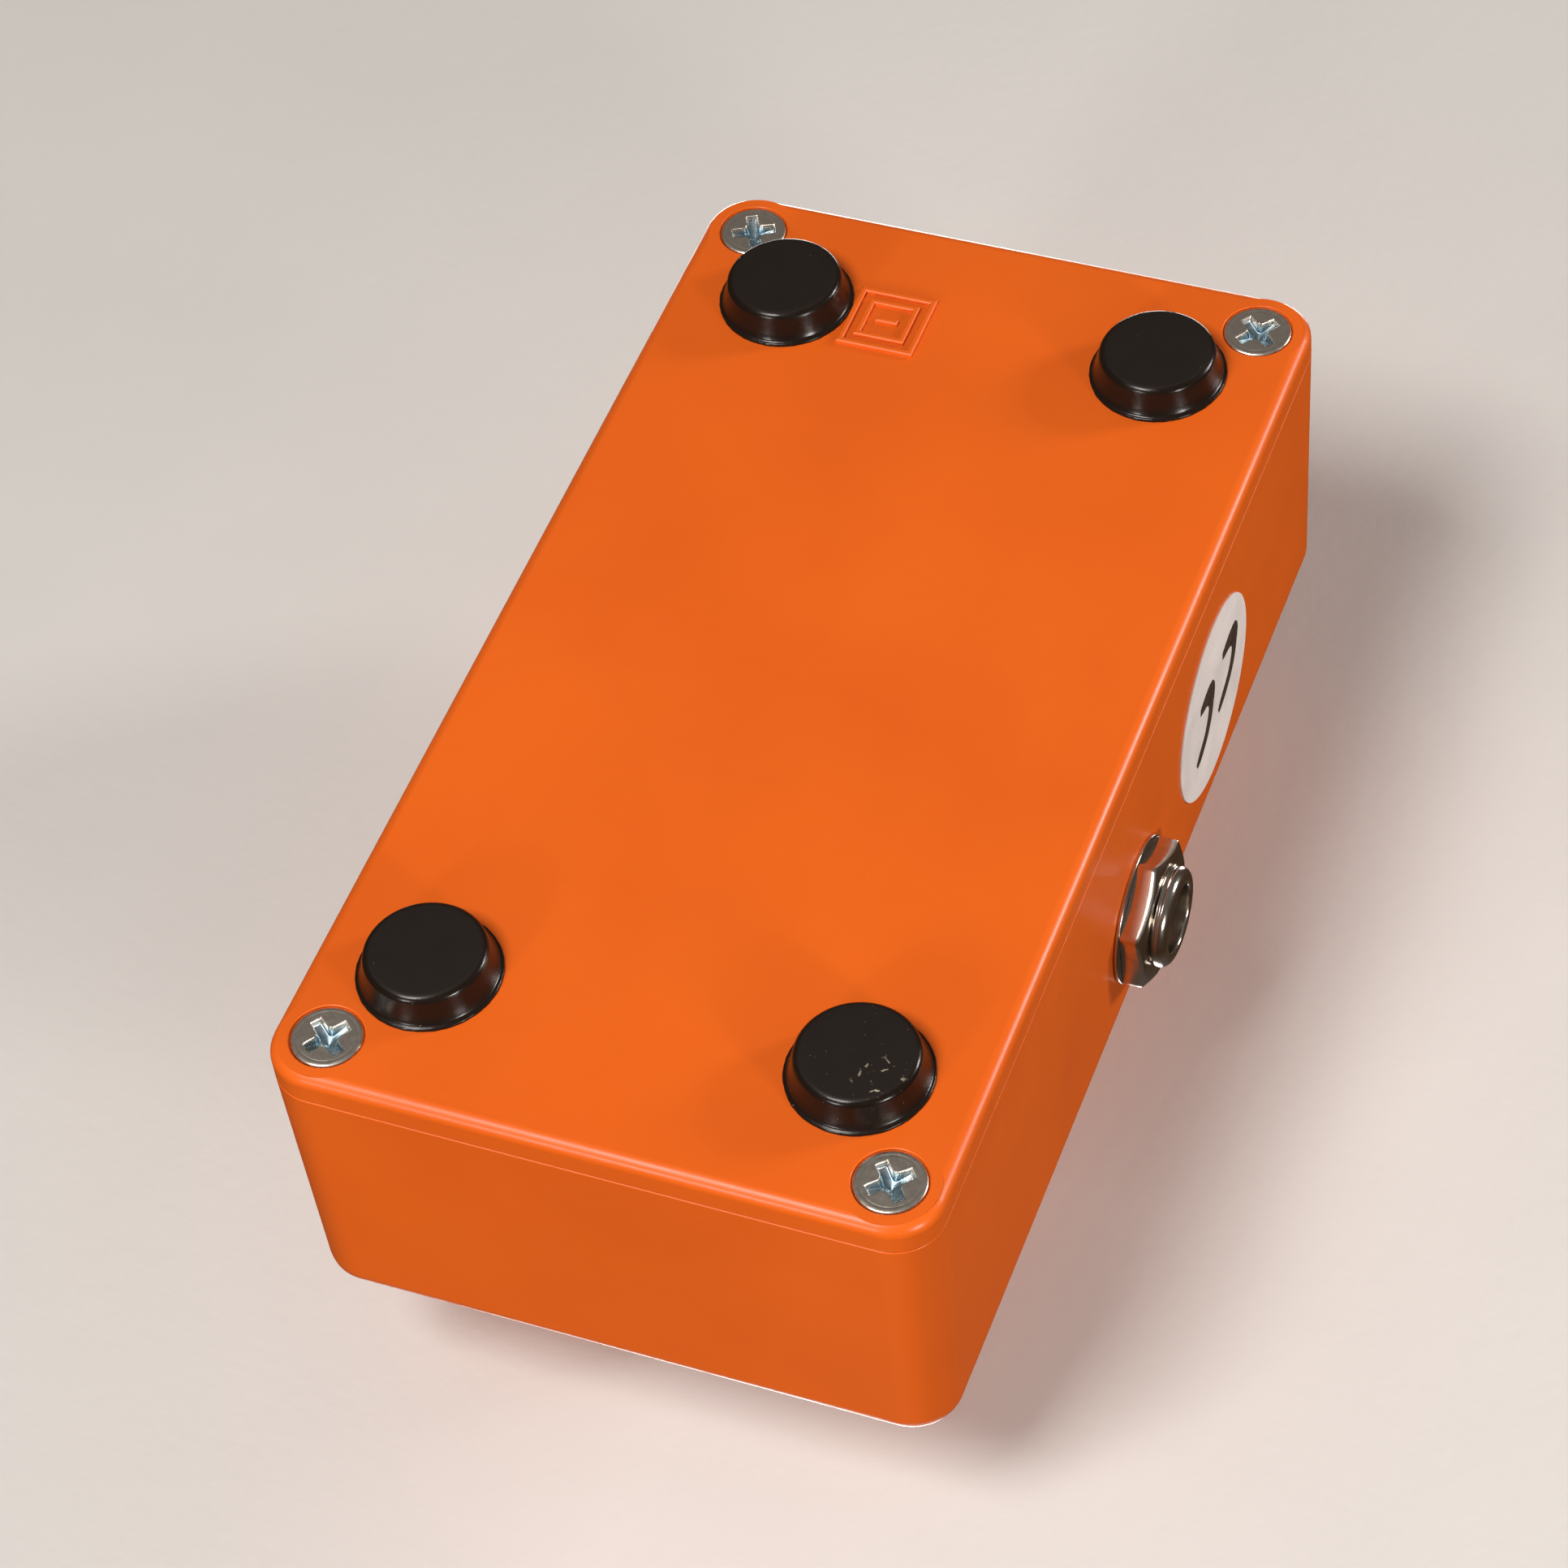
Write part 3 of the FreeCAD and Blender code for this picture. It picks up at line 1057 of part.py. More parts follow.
def under_board(x, y, drop):
    """A place below the board: x and y are from its middle, and drop is from its underside."""
    return x, f"{BOARD_Y} + {y}", f"{BOARD_Z} - ({drop})"


def make_chips():
    """Four dual in-line chips with their legs."""
    chips = []
    for number in range(CHIPS):
        name = f"chip_{number + 1}"
        x = f"{number - (CHIPS - 1) / 2} * chip_pitch"
        case = block(f"{name}_case", "chip_wide", "chip_long", "chip_high",
                     *under_board(x, "-chip_row", "chip_high + chip_off"))
        legs = [
            block(f"{name}_leg_{side}_{leg}".replace("-", "m"), "leg_wide", "leg_thick", "leg_long",
                  *under_board(f"{x} + {side} * (chip_wide / 2 + leg_out)",
                               f"{leg - (LEGS - 1) / 2} * leg_pitch - chip_row", "leg_long"))
            for side in (-1, 1)
            for leg in range(LEGS)
        ]
        chips.append(join(name, case, *legs))
    return sub_part(group("chips", chips))


def make_resistors():
    """A row of resistors, each with its two wires."""
    bars = []
    for number in range(RESISTORS):
        name = f"resistor_{number + 1}"
        x = f"{number - (RESISTORS - 1) / 2} * resistor_pitch - resistor_shift"
        bulk = rod(f"{name}_bulk", "resistor_dia", "resistor_long",
                   *under_board(x, "resistor_long / 2 - resistor_row", "resistor_off"), FOOTWARD)
        wires = [
            rod(f"{name}_wire_{end}", "resistor_wire", "resistor_off",
                *under_board(x, f"{side} * (resistor_long - resistor_wire) / 2 - resistor_row",
                             "resistor_off"))
            for end, side in enumerate((-1, 1))
        ]
        bars.append(join(name, bulk, *wires))
    return sub_part(group("resistors", bars))


def make_other_parts():
    """Capacitors and transistors in rows across the board."""
    cans = [
        rod(name, dia, "can_high", *under_board(x, y, "can_high"))
        for name, x, y, dia in CANS
    ]
    sub_part(group("electrolytic_capacitors", cans))
    films = [
        block(f"film_{number}", "film_thick", "film_long", "film_high",
              *under_board(f"{number - (FILMS - 1) / 2} * film_pitch - film_shift", "film_row",
                           "film_high"))
        for number in range(FILMS)
    ]
    sub_part(group("film_capacitors", films))
    halves = []
    for name, side in (("left", -1), ("right", 1)):
        spot = (f"{side} * transistor_x", "transistor_row", "transistor_high")
        whole = rod(f"transistor_{name}_round", "transistor_dia", "transistor_high",
                    *under_board(*spot))
        flat = block(f"transistor_{name}_flat", "2 * transistor_dia", "transistor_dia",
                     "transistor_high + 2 * overcut",
                     *under_board(spot[0], "transistor_row + transistor_flat + transistor_dia / 2",
                                  "transistor_high + overcut"))
        halves.append(cut(f"transistor_{name}", whole, flat))
    sub_part(group("transistors", halves))


def make_trimmer():
    """The bias trimmer: a square body and the slotted rotor that turns in it."""
    spot = ("trimmer_x", "trimmer_row")
    case = block("trimmer_case", "trimmer_side", "trimmer_side", "trimmer_high",
                 *under_board(*spot, "trimmer_high"))
    well = rod("trimmer_well", "well_dia", "well_deep + overcut",
               *under_board(*spot, "trimmer_high + overcut"))
    sub_part(cut("trimmer_body", case, well))
    disc = rod("trimmer_disc", "well_dia - 2 * run_gap", "rotor_high",
               *under_board(*spot, "trimmer_high + rotor_out"))
    slot = block("trimmer_slot", "slit_wide", "slit_long", "slit_deep + overcut",
                 *under_board(*spot, "trimmer_high + rotor_out + overcut"))
    sub_part(cut("trimmer_rotor", disc, slot))


def make_battery():
    """The nine-volt battery on its long edge, its terminals, the snap and a foam strip."""
    cell = body("battery_case")
    face = sketch(cell, "cell_outline", "YZ_Plane", CELL_X)
    rectangle(face, "cell_thick", "cell_wide", CELL_Y, f"{CELL_Z} + cell_wide / 2")
    slab = pad(cell, face, "cell_long")
    soften(cell, slab, "cell_round", is_long_edge)
    sub_part(cell)
    end = f"({CELL_X} + cell_long)"
    middle = f"({CELL_Z} + cell_wide / 2)"
    studs = []
    sockets = []
    for number, side in enumerate((-1, 1)):
        height = f"{middle} + {side} * terminal_gap / 2"
        studs.append(rod(f"terminal_{number}", "terminal_dia", "terminal_high",
                         end, CELL_Y, height, RIGHTWARD))
        sockets.append(rod(f"snap_socket_{number}", "terminal_dia + 2 * snap_slack",
                           "terminal_high + snap_slack", end, CELL_Y, height, RIGHTWARD))
    sub_part(group("battery_terminals", studs))
    cover = block("snap_cover", "snap_thick", "snap_deep", "snap_wide",
                  f"{end} + snap_gap + snap_thick / 2", CELL_Y, f"{middle} - snap_wide / 2")
    sub_part(cut("battery_snap", cover, *sockets))
    sub_part(block("battery_foam", "cell_long - 2 * foam_end_shy", "cell_thick - 2 * foam_side_shy",
                   "foam_thick", f"{CELL_X} + cell_long / 2", CELL_Y, LID_INSIDE))


def check_and_write():
    """Stop on any failed object or bad shape, then write one file per piece."""
    DOC.recompute()
    for item in DOC.Objects:
        if "Invalid" in item.State or "Error" in item.State:
            raise RuntimeError(f"{item.Name} failed: {item.State}")
    os.makedirs("parts", exist_ok=True)
    for item in SUB_PARTS:
        shape = item.Shape
        if shape.isNull() or not shape.isValid() or not shape.Solids:
            raise RuntimeError(f"{item.Label} has no valid solid")
    for item in SUB_PARTS:
        item.Shape.exportStep(os.path.join("parts", f"{item.Label}.step"))
    print(f"{len(SUB_PARTS)} pieces written")


make_enclosure()
make_base_plate()
make_screws()
make_feet()
make_label()
make_jack("input_jack", 1, RIGHTWARD)
make_jack("output_jack", -1, LEFTWARD)
make_power_socket()
make_rate_control()
make_knob()
make_footswitch()
make_lamp()
make_board()
make_chips()
make_resistors()
make_other_parts()
make_trimmer()
make_battery()
check_and_write()
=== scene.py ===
"""Looks of a one-knob guitar effects pedal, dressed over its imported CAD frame.

The pedal stands on its rubber feet, with its knob at the head end (+Y) and its footswitch at
the foot end (-Y). The main camera looks up at the base plate, past the head-end wall and the
right wall. Lengths are in metres; MM turns millimetres into metres.
"""

import json
import logging
import math
import random
from dataclasses import dataclass, field
from enum import Enum
from typing import Callable, Optional, Sequence

import bmesh
import bpy
from mathutils import Matrix, Vector

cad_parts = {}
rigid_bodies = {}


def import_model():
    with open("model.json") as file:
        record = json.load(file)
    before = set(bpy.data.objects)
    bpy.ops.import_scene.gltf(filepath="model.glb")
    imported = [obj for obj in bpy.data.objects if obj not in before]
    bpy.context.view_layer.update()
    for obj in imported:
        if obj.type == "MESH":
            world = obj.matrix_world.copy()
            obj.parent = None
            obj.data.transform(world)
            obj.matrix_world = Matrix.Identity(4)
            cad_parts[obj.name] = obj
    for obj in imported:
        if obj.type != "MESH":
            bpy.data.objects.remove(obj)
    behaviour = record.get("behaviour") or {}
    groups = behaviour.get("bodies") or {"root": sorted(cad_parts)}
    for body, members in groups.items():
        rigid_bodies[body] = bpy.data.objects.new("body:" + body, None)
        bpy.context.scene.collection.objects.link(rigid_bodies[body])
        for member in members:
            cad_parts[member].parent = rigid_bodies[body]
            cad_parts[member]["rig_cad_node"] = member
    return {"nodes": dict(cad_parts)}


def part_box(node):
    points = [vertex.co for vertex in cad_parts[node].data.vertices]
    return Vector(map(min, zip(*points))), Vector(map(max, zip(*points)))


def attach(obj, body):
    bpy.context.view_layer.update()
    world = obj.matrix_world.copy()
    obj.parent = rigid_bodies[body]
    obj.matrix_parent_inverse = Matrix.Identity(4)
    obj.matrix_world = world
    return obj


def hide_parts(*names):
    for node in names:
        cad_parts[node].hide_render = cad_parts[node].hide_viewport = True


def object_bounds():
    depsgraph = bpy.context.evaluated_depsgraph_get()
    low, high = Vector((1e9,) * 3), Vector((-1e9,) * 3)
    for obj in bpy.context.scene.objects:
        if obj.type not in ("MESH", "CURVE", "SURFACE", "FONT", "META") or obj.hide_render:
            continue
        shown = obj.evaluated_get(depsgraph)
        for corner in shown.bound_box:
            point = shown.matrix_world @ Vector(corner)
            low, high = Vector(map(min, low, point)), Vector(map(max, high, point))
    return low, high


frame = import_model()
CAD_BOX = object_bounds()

LOG = logging.getLogger("pedal")
MM = 0.001
PEDAL = "pedal"
PLUNGER_BODY = "switch_plunger_body"
PHASE_SPAN = 6.28

Colour = tuple[float, float, float]
Profile = list[tuple[float, float]]
Shaper = Callable[[float, float, float], tuple[float, float]]


# ---------------------------------------------------------------- shapes


@dataclass(frozen=True)
class AxisFrame:
    """A place to turn a piece about: its seat, the way it points, and where its angle 0 lies."""

    seat: Vector
    along: Vector
    across: Vector

    def matrix(self) -> Matrix:
        """The transform from the piece's own frame, whose Z is its axis, to the pedal's."""
        third = self.along.cross(self.across)
        turn = Matrix((self.across, third, self.along)).transposed().to_4x4()
        return Matrix.Translation(self.seat) @ turn


def upright(centre: Vector, height: float) -> AxisFrame:
    """A frame that points straight up from a height over a centre."""
    return AxisFrame(Vector((centre.x, centre.y, height)), Vector((0, 0, 1)), Vector((1, 0, 0)))


def middle(node: str) -> Vector:
    """The middle of a CAD node's box."""
    low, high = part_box(node)
    return (low + high) / 2


def seat(node: str) -> tuple[AxisFrame, float, float]:
    """Where a CAD node stands upright, how tall it is, and half its width along X."""
    low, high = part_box(node)
    return upright(middle(node), low.z), high.z - low.z, (high.x - low.x) / 2


def arc(centre: tuple[float, float], radius: float, start: float, end: float, steps: int) -> Profile:
    """Points of a round corner in a profile.

    Args:
        centre: The arc's centre as radius and height.
        radius: The arc's radius.
        start: The first angle in degrees.
        end: The last angle in degrees.
        steps: How many straight steps the arc has.

    Returns:
        The arc's points, both ends included.
    """
    angles = [math.radians(start + (end - start) * step / steps) for step in range(steps + 1)]
    return [(centre[0] + radius * math.cos(a), centre[1] + radius * math.sin(a)) for a in angles]


def smooth_path(corners: Sequence[tuple[float, float]], steps: int) -> Profile:
    """A smooth curve through the corners of a drawn mark.

    Args:
        corners: The points that the curve passes through.
        steps: How many straight steps lie between two corners.

    Returns:
        The curve's points, both ends included.
    """
    knots = [Vector(point) for point in (corners[0], *corners, corners[-1])]
    path: Profile = []
    for before, near, far, after in zip(knots, knots[1:], knots[2:], knots[3:]):
        for step in range(steps):
            s = step / steps
            bend = 2 * near + (far - before) * s
            bend += (2 * before - 5 * near + 4 * far - after) * s ** 2
            bend += (3 * near - before - 3 * far + after) * s ** 3
            path.append((bend.x / 2, bend.y / 2))
    path.append((knots[-1].x, knots[-1].y))
    return path


def finish_mesh(name: str, work: bmesh.types.BMesh, place: Matrix, sharp: float) -> bpy.types.Object:
    """Turn a finished bmesh into a smooth-shaded object.

    Args:
        name: The object's name.
        work: The mesh in the piece's own frame; it is freed here.
        place: The transform into the pedal's frame.
        sharp: The angle in degrees above which an edge stays sharp.

    Returns:
        The linked object.
    """
    bmesh.ops.remove_doubles(work, verts=work.verts, dist=1e-7)
    bmesh.ops.dissolve_degenerate(work, edges=work.edges, dist=1e-7)
    bmesh.ops.recalc_face_normals(work, faces=work.faces)
    work.transform(place)
    mesh = bpy.data.meshes.new(name)
    work.to_mesh(mesh)
    work.free()
    mesh.shade_smooth()
    mesh.set_sharp_from_angle(angle=math.radians(sharp))
    piece = bpy.data.objects.new(name, mesh)
    bpy.context.scene.collection.objects.link(piece)
    return piece


def revolve(name: str, profile: Profile, place: AxisFrame, steps: int = 96,
            shaper: Optional[Shaper] = None, ring: bool = True,
            sharp: float = 32.0) -> bpy.types.Object:
    """Turn a profile about an axis.

    Args:
        name: The piece's name.
        profile: Radius and height pairs.
        place: The axis to turn about.
        steps: Steps round the full turn.
        shaper: Moves a point, given its radius, height and angle.
        ring: Whether the profile closes on itself, as a tube's does.
        sharp: The angle in degrees above which an edge stays sharp.

    Returns:
        The turned piece.
    """
    work = bmesh.new()
    rows = []
    for radius, height in profile:
        row = []
        for step in range(steps):
            angle = 2 * math.pi * step / steps
            r, h = shaper(radius, height, angle) if shaper else (radius, height)
            row.append(work.verts.new((r * math.cos(angle), r * math.sin(angle), h)))
        rows.append(row)
    pairs = list(zip(rows, rows[1:]))
    if ring:
        pairs.append((rows[-1], rows[0]))
    for near, far in pairs:
        for step in range(steps):
            after = (step + 1) % steps
            work.faces.new((near[step], near[after], far[after], far[step]))
    return finish_mesh(name, work, place.matrix(), sharp)


def dense(profile: Profile, longest: float) -> Profile:
    """Split a profile's long runs so that a shaper has points to move."""
    points = [profile[0]]
    for (r0, h0), (r1, h1) in zip(profile, profile[1:]):
        count = max(1, math.ceil(math.hypot(r1 - r0, h1 - h0) / longest))
        points += [(r0 + (r1 - r0) * k / count, h0 + (h1 - h0) * k / count)
                   for k in range(1, count + 1)]
    return points


@dataclass(frozen=True)
class Thread:
    """A single-start screw thread cut into a turned bushing."""

    radius: float
    low: float
    high: float
    pitch: float = 0.8 * MM
    depth: float = 0.34 * MM

    def shape(self, radius: float, height: float, angle: float) -> tuple[float, float]:
        """Sink a point of the bushing's outside into the thread's groove."""
        if radius < self.radius - 0.02 * MM or not self.low < height < self.high:
            return radius, height
        turn = (height / self.pitch - angle / (2 * math.pi)) % 1.0
        valley = 1.0 - abs(2.0 * turn - 1.0)
        valley = min(1.0, max(0.0, 1.35 * valley - 0.15))
        fade = min(1.0, (height - self.low) / self.pitch, (self.high - height) / (0.6 * self.pitch))
        return radius - self.depth * valley * max(0.0, fade), height


def hexagon_radius(flats: float, angle: float, turned: float) -> float:
    """The distance from a nut's axis to its side, with slightly rounded corners."""
    power = 70.0
    total = 0.0
    for side in range(6):
        reach = math.cos(angle - turned - math.radians(30 + 60 * side))
        if reach > 0:
            total += (reach / (flats / 2)) ** power
    return total ** (-1.0 / power)


def hex_nut(name: str, place: AxisFrame, flats: float, thick: float, bore: float,
            turned: float = 0.0) -> bpy.types.Object:
    """A chamfered hexagon nut.

    Args:
        name: The piece's name.
        place: The nut's axis, seated on its underside.
        flats: The distance across its flats.
        thick: Its thickness.
        bore: The radius of its bore.
        turned: The angle of its first corner, in degrees.

    Returns:
        The nut.
    """
    crown = 0.494 * flats
    slope = math.tan(math.radians(24))
    lead = 0.25 * MM
    soft = 0.12 * MM
    near = 0.03 * MM
    start = math.radians(turned)

    def outside(angle: float) -> float:
        """The nut's side at an angle."""
        return hexagon_radius(flats, angle, start)

    def chamfered(radius: float) -> float:
        """The height of the chamfered top at a radius."""
        return thick - max(0.0, radius - crown) * slope

    def side(inset: float, share: float, drop: float) -> Callable[[float], tuple[float, float]]:
        """A row on the side: how far in, at what share of the height, and how far below it."""
        return lambda angle: (outside(angle) - inset, share * chamfered(outside(angle)) - drop)

    def sloped(share: float) -> Callable[[float], tuple[float, float]]:
        """A row on the chamfer, at a share of the way from the crown to the corner."""
        def row(angle: float) -> tuple[float, float]:
            """The row's point at an angle."""
            radius = crown + share * (outside(angle) - soft - crown)
            return radius, chamfered(radius)
        return row

    rows = [
        lambda angle: (bore + lead, 0.0), side(soft, 0.0, 0.0), side(near, 0.0, -near),
        side(0.0, 0.0, -soft), side(0.0, 0.4, 0.0), side(0.0, 0.75, 0.0), side(0.0, 1.0, 0.10 * MM),
        side(near, 1.0, 0.02 * MM), *(sloped(share) for share in (0.85, 0.6, 0.3, 0.0)),
        lambda angle: (bore + lead, thick), lambda angle: (bore, thick - lead),
        lambda angle: (bore, lead),
    ]
    numbered = [(float(number), 0.0) for number in range(len(rows))]
    return revolve(name, numbered, place, 216,
                   lambda number, height, angle: rows[int(number)](angle), sharp=28.0)


def washer(name: str, place: AxisFrame, outer: float, inner: float, thick: float) -> bpy.types.Object:
    """A flat washer with stamped, rounded edges."""
    edge = min(0.14 * MM, thick * 0.3)
    profile = [(inner, thick - edge), (inner, edge), (inner + edge, 0.0), (outer - edge, 0.0)]
    profile += arc((outer - edge, edge), edge, -90, 0, 4)
    profile += arc((outer - edge, thick - edge), edge, 0, 90, 4)
    profile += [(inner + edge, thick)]
    return revolve(name, profile, place, 128)


# ---------------------------------------------------------------- finishes


class Recipe:
    """A material's nodes while they are being laid out."""

    def __init__(self, name: str) -> None:
        """Start a material with one principled shader.

        Args:
            name: The material's name.
        """
        self.material = bpy.data.materials.new(name)
        self.material.use_nodes = True
        self.tree = self.material.node_tree
        self.shader = self.tree.nodes["Principled BSDF"]
        self._place: Optional[bpy.types.NodeSocket] = None

    def add(self, kind: str, **settings: object) -> bpy.types.Node:
        """Add a node and set its properties."""
        node = self.tree.nodes.new(kind)
        for key, value in settings.items():
            setattr(node, key, value)
        return node

    def feed(self, socket: bpy.types.NodeSocket, value: object) -> None:
        """Give a socket a number, a colour or another node's output."""
        if isinstance(value, bpy.types.NodeSocket):
            self.tree.links.new(value, socket)
        else:
            socket.default_value = value

    def set(self, **values: object) -> "Recipe":
        """Set the shader's own sockets by name, with spaces written as underscores."""
        for key, value in values.items():
            self.feed(self.shader.inputs[key.replace("_", " ")], value)
        return self

    def place(self) -> bpy.types.NodeSocket:
        """The surface's place in the pedal's frame, in metres."""
        if self._place is None:
            self._place = self.add("ShaderNodeTexCoord").outputs["Object"]
        return self._place

    def stretched(self, scale: Sequence[float], turn: float = 0.0) -> bpy.types.NodeSocket:
        """The place, turned about Z and stretched, for a brushed or drawn grain."""
        node = self.add("ShaderNodeMapping")
        self.feed(node.inputs["Vector"], self.place())
        node.inputs["Rotation"].default_value = (0.0, 0.0, turn)
        node.inputs["Scale"].default_value = tuple(scale)
        return node.outputs["Vector"]

    def noise(self, scale: float, detail: float = 3.0, rough: float = 0.5,
              where: Optional[bpy.types.NodeSocket] = None) -> bpy.types.NodeSocket:
        """Soft noise; scale is in lumps per metre."""
        node = self.add("ShaderNodeTexNoise")
        self.feed(node.inputs["Vector"], where or self.place())
        node.inputs["Scale"].default_value = scale
        node.inputs["Detail"].default_value = detail
        node.inputs["Roughness"].default_value = rough
        return node.outputs["Fac"]

    def maths(self, operation: str, first: object, second: object = 0.0) -> bpy.types.NodeSocket:
        """The result of a maths operation on one or two numbers."""
        node = self.add("ShaderNodeMath", operation=operation)
        self.feed(node.inputs[0], first)
        self.feed(node.inputs[1], second)
        return node.outputs[0]

    def reach(self, first: bpy.types.NodeSocket,
              second: bpy.types.NodeSocket) -> bpy.types.NodeSocket:
        """How far two coordinates lie from their origin."""
        square = self.maths("ADD", self.maths("MULTIPLY", first, first),
                            self.maths("MULTIPLY", second, second))
        return self.maths("SQRT", square)

    def spread(self, value: bpy.types.NodeSocket, low: float, high: float,
               to_low: float = 0.0, to_high: float = 1.0) -> bpy.types.NodeSocket:
        """Map a range of a value to another range, clamped."""
        node = self.add("ShaderNodeMapRange")
        self.feed(node.inputs["Value"], value)
        for key, number in (("From Min", low), ("From Max", high),
                            ("To Min", to_low), ("To Max", to_high)):
            node.inputs[key].default_value = number
        return node.outputs["Result"]

    def blend(self, share: object, first: object, second: object) -> bpy.types.NodeSocket:
        """A colour between two colours."""
        node = self.add("ShaderNodeMix", data_type="RGBA")
        self.feed(node.inputs["Factor"], share)
        self.feed(node.inputs["A"], self._colour(first))
        self.feed(node.inputs["B"], self._colour(second))
        return node.outputs["Result"]

    def specks(self, per_metre: float, size: float, share: float) -> bpy.types.NodeSocket:
        """Sparse dots: how many a metre, their radius, and the share of them that show."""
        node = self.add("ShaderNodeTexVoronoi", feature="F1")
        self.feed(node.inputs["Vector"], self.place())
        node.inputs["Scale"].default_value = per_metre
        radius = size * per_metre
        dot = self.spread(node.outputs["Distance"], radius * 0.7, radius, 1.0, 0.0)
        split = self.add("ShaderNodeSeparateColor")
        self.feed(split.inputs[0], node.outputs["Color"])
        chosen = self.maths("GREATER_THAN", split.outputs[0], 1.0 - share)
        return self.maths("MULTIPLY", dot, chosen)

    def axis(self, letter: str) -> bpy.types.NodeSocket:
        """One coordinate of the place."""
        node = self.add("ShaderNodeSeparateXYZ")
        self.feed(node.inputs[0], self.place())
        return node.outputs[letter]

    def bump(self, *layers: tuple[bpy.types.NodeSocket, float]) -> "Recipe":
        """Stack bumps; each layer is a height from 0 to 1 and its depth in metres."""
        normal: Optional[bpy.types.NodeSocket] = None
        for height, depth in layers:
            node = self.add("ShaderNodeBump")
            node.inputs["Distance"].default_value = depth
            self.feed(node.inputs["Height"], height)
            if normal is not None:
                self.feed(node.inputs["Normal"], normal)
            normal = node.outputs["Normal"]
        if normal is not None:
            self.feed(self.shader.inputs["Normal"], normal)
        return self

    @staticmethod
    def _colour(value: object) -> object:
        """A colour with an alpha of 1, or the socket as it is."""
        return (*value, 1.0) if isinstance(value, tuple) else value


@dataclass(frozen=True)
class PowderCoat:
    """Satin powder coat on a casting: fine orange peel, faint shade drift and stray dust."""

    name: str = "orange_powder_coat"
    colour: Colour = (0.745, 0.122, 0.009)
    shade: Colour = (0.690, 0.108, 0.008)
    dust: Colour = (0.90, 0.55, 0.38)
    roughness: float = 0.34
    peel: float = 0.011 * MM

    def material(self) -> bpy.types.Material:
        """Lay out the paint."""
        mix = Recipe(self.name)
        drift = mix.spread(mix.noise(38.0, 4.0), 0.35, 0.65)
        paint = mix.blend(drift, self.shade, self.colour)
        dust = mix.specks(130.0, 0.10 * MM, 0.22)
        fine_dust = mix.specks(310.0, 0.045 * MM, 0.20)
        paint = mix.blend(mix.maths("MULTIPLY", fine_dust, 0.45), paint, self.dust)
        paint = mix.blend(mix.maths("MULTIPLY", dust, 0.6), paint, self.dust)
        gloss = mix.spread(mix.noise(170.0, 5.0, 0.6), 0.3, 0.7,
                           self.roughness - 0.035, self.roughness + 0.045)
        mix.set(Base_Color=paint, Roughness=gloss, Coat_Weight=0.04, Coat_Roughness=0.25,
                Specular_IOR_Level=0.30)
        mix.bump((mix.noise(620.0, 2.0), self.peel), (mix.noise(2600.0, 3.0, 0.6), self.peel * 0.35),
                 (dust, 0.03 * MM))
        return mix.material


@dataclass(frozen=True)
class Plating:
    """Bright plated metal with soft smudges, pits and drawn scratches."""

    name: str
    colour: Colour = (0.66, 0.60, 0.54)
    tarnish: Colour = (0.46, 0.39, 0.32)
    roughness: float = 0.15
    scratch: float = 0.004 * MM
    stretch: tuple[float, float, float] = (1.0, 1.0, 14.0)

    def material(self) -> bpy.types.Material:
        """Lay out the plating."""
        mix = Recipe(self.name)
        smudge = mix.spread(mix.noise(260.0, 5.0, 0.65), 0.42, 0.72)
        grain = mix.noise(420.0, 4.0, 0.7, mix.stretched(self.stretch))
        pits = mix.specks(1500.0, 0.05 * MM, 0.35)
        tone = mix.blend(smudge, self.colour, self.tarnish)
        tone = mix.blend(mix.maths("MULTIPLY", pits, 0.5), tone, self.tarnish)
        mix.set(Base_Color=tone, Metallic=1.0,
                Roughness=mix.spread(smudge, 0.0, 1.0, self.roughness, self.roughness + 0.10))
        mix.bump((grain, self.scratch), (mix.noise(3000.0, 2.0), self.scratch * 0.5))
        return mix.material


@dataclass(frozen=True)
class TurnedZinc:
    """Zinc-plated screw heads: fine turned rings, and a darker bluish painted shade deeper down in the
    recess.
    """

    name: str
    pitch_x: float
    pitch_y: float
    face: float
    colour: Colour = (0.90, 0.80, 0.69)
    # Painted shade: the dark bluish colour that the recess turns to towards its bottom.
    recess_shade: Colour = (0.30, 0.46, 0.56)
    ring: float = 0.13 * MM

    def material(self) -> bpy.types.Material:
        """Lay out the rings round each of the four screws, folded onto one quarter."""
        mix = Recipe(self.name)
        from_x = mix.maths("SUBTRACT", mix.maths("ABSOLUTE", mix.axis("X")), self.pitch_x)
        from_y = mix.maths("SUBTRACT", mix.maths("ABSOLUTE", mix.axis("Y")), self.pitch_y)
        radius = mix.reach(from_x, from_y)
        waves = mix.maths("SINE", mix.maths("MULTIPLY", radius, 2 * math.pi / self.ring))
        waves = mix.maths("ADD", waves, mix.spread(mix.noise(700.0, 3.0), 0.0, 1.0, -0.4, 0.4))
        # Painted shade: the colour darkens and turns bluish deeper in the cross recess.
        depth = mix.spread(mix.axis("Z"), self.face + 0.1 * MM, self.face + 0.9 * MM)
        streak = mix.spread(mix.noise(1300.0, 4.0, 0.7), 0.35, 0.7)
        tone = mix.blend(depth, self.colour, self.recess_shade)
        tone = mix.blend(mix.maths("MULTIPLY", streak, 0.3), tone, (0.42, 0.38, 0.34))
        mix.set(Base_Color=tone, Metallic=1.0,
                Roughness=mix.spread(streak, 0.0, 1.0, 0.24, 0.40))
        mix.bump((waves, 0.0030 * MM), (mix.noise(1500.0, 3.0, 0.6), 0.009 * MM))
        return mix.material


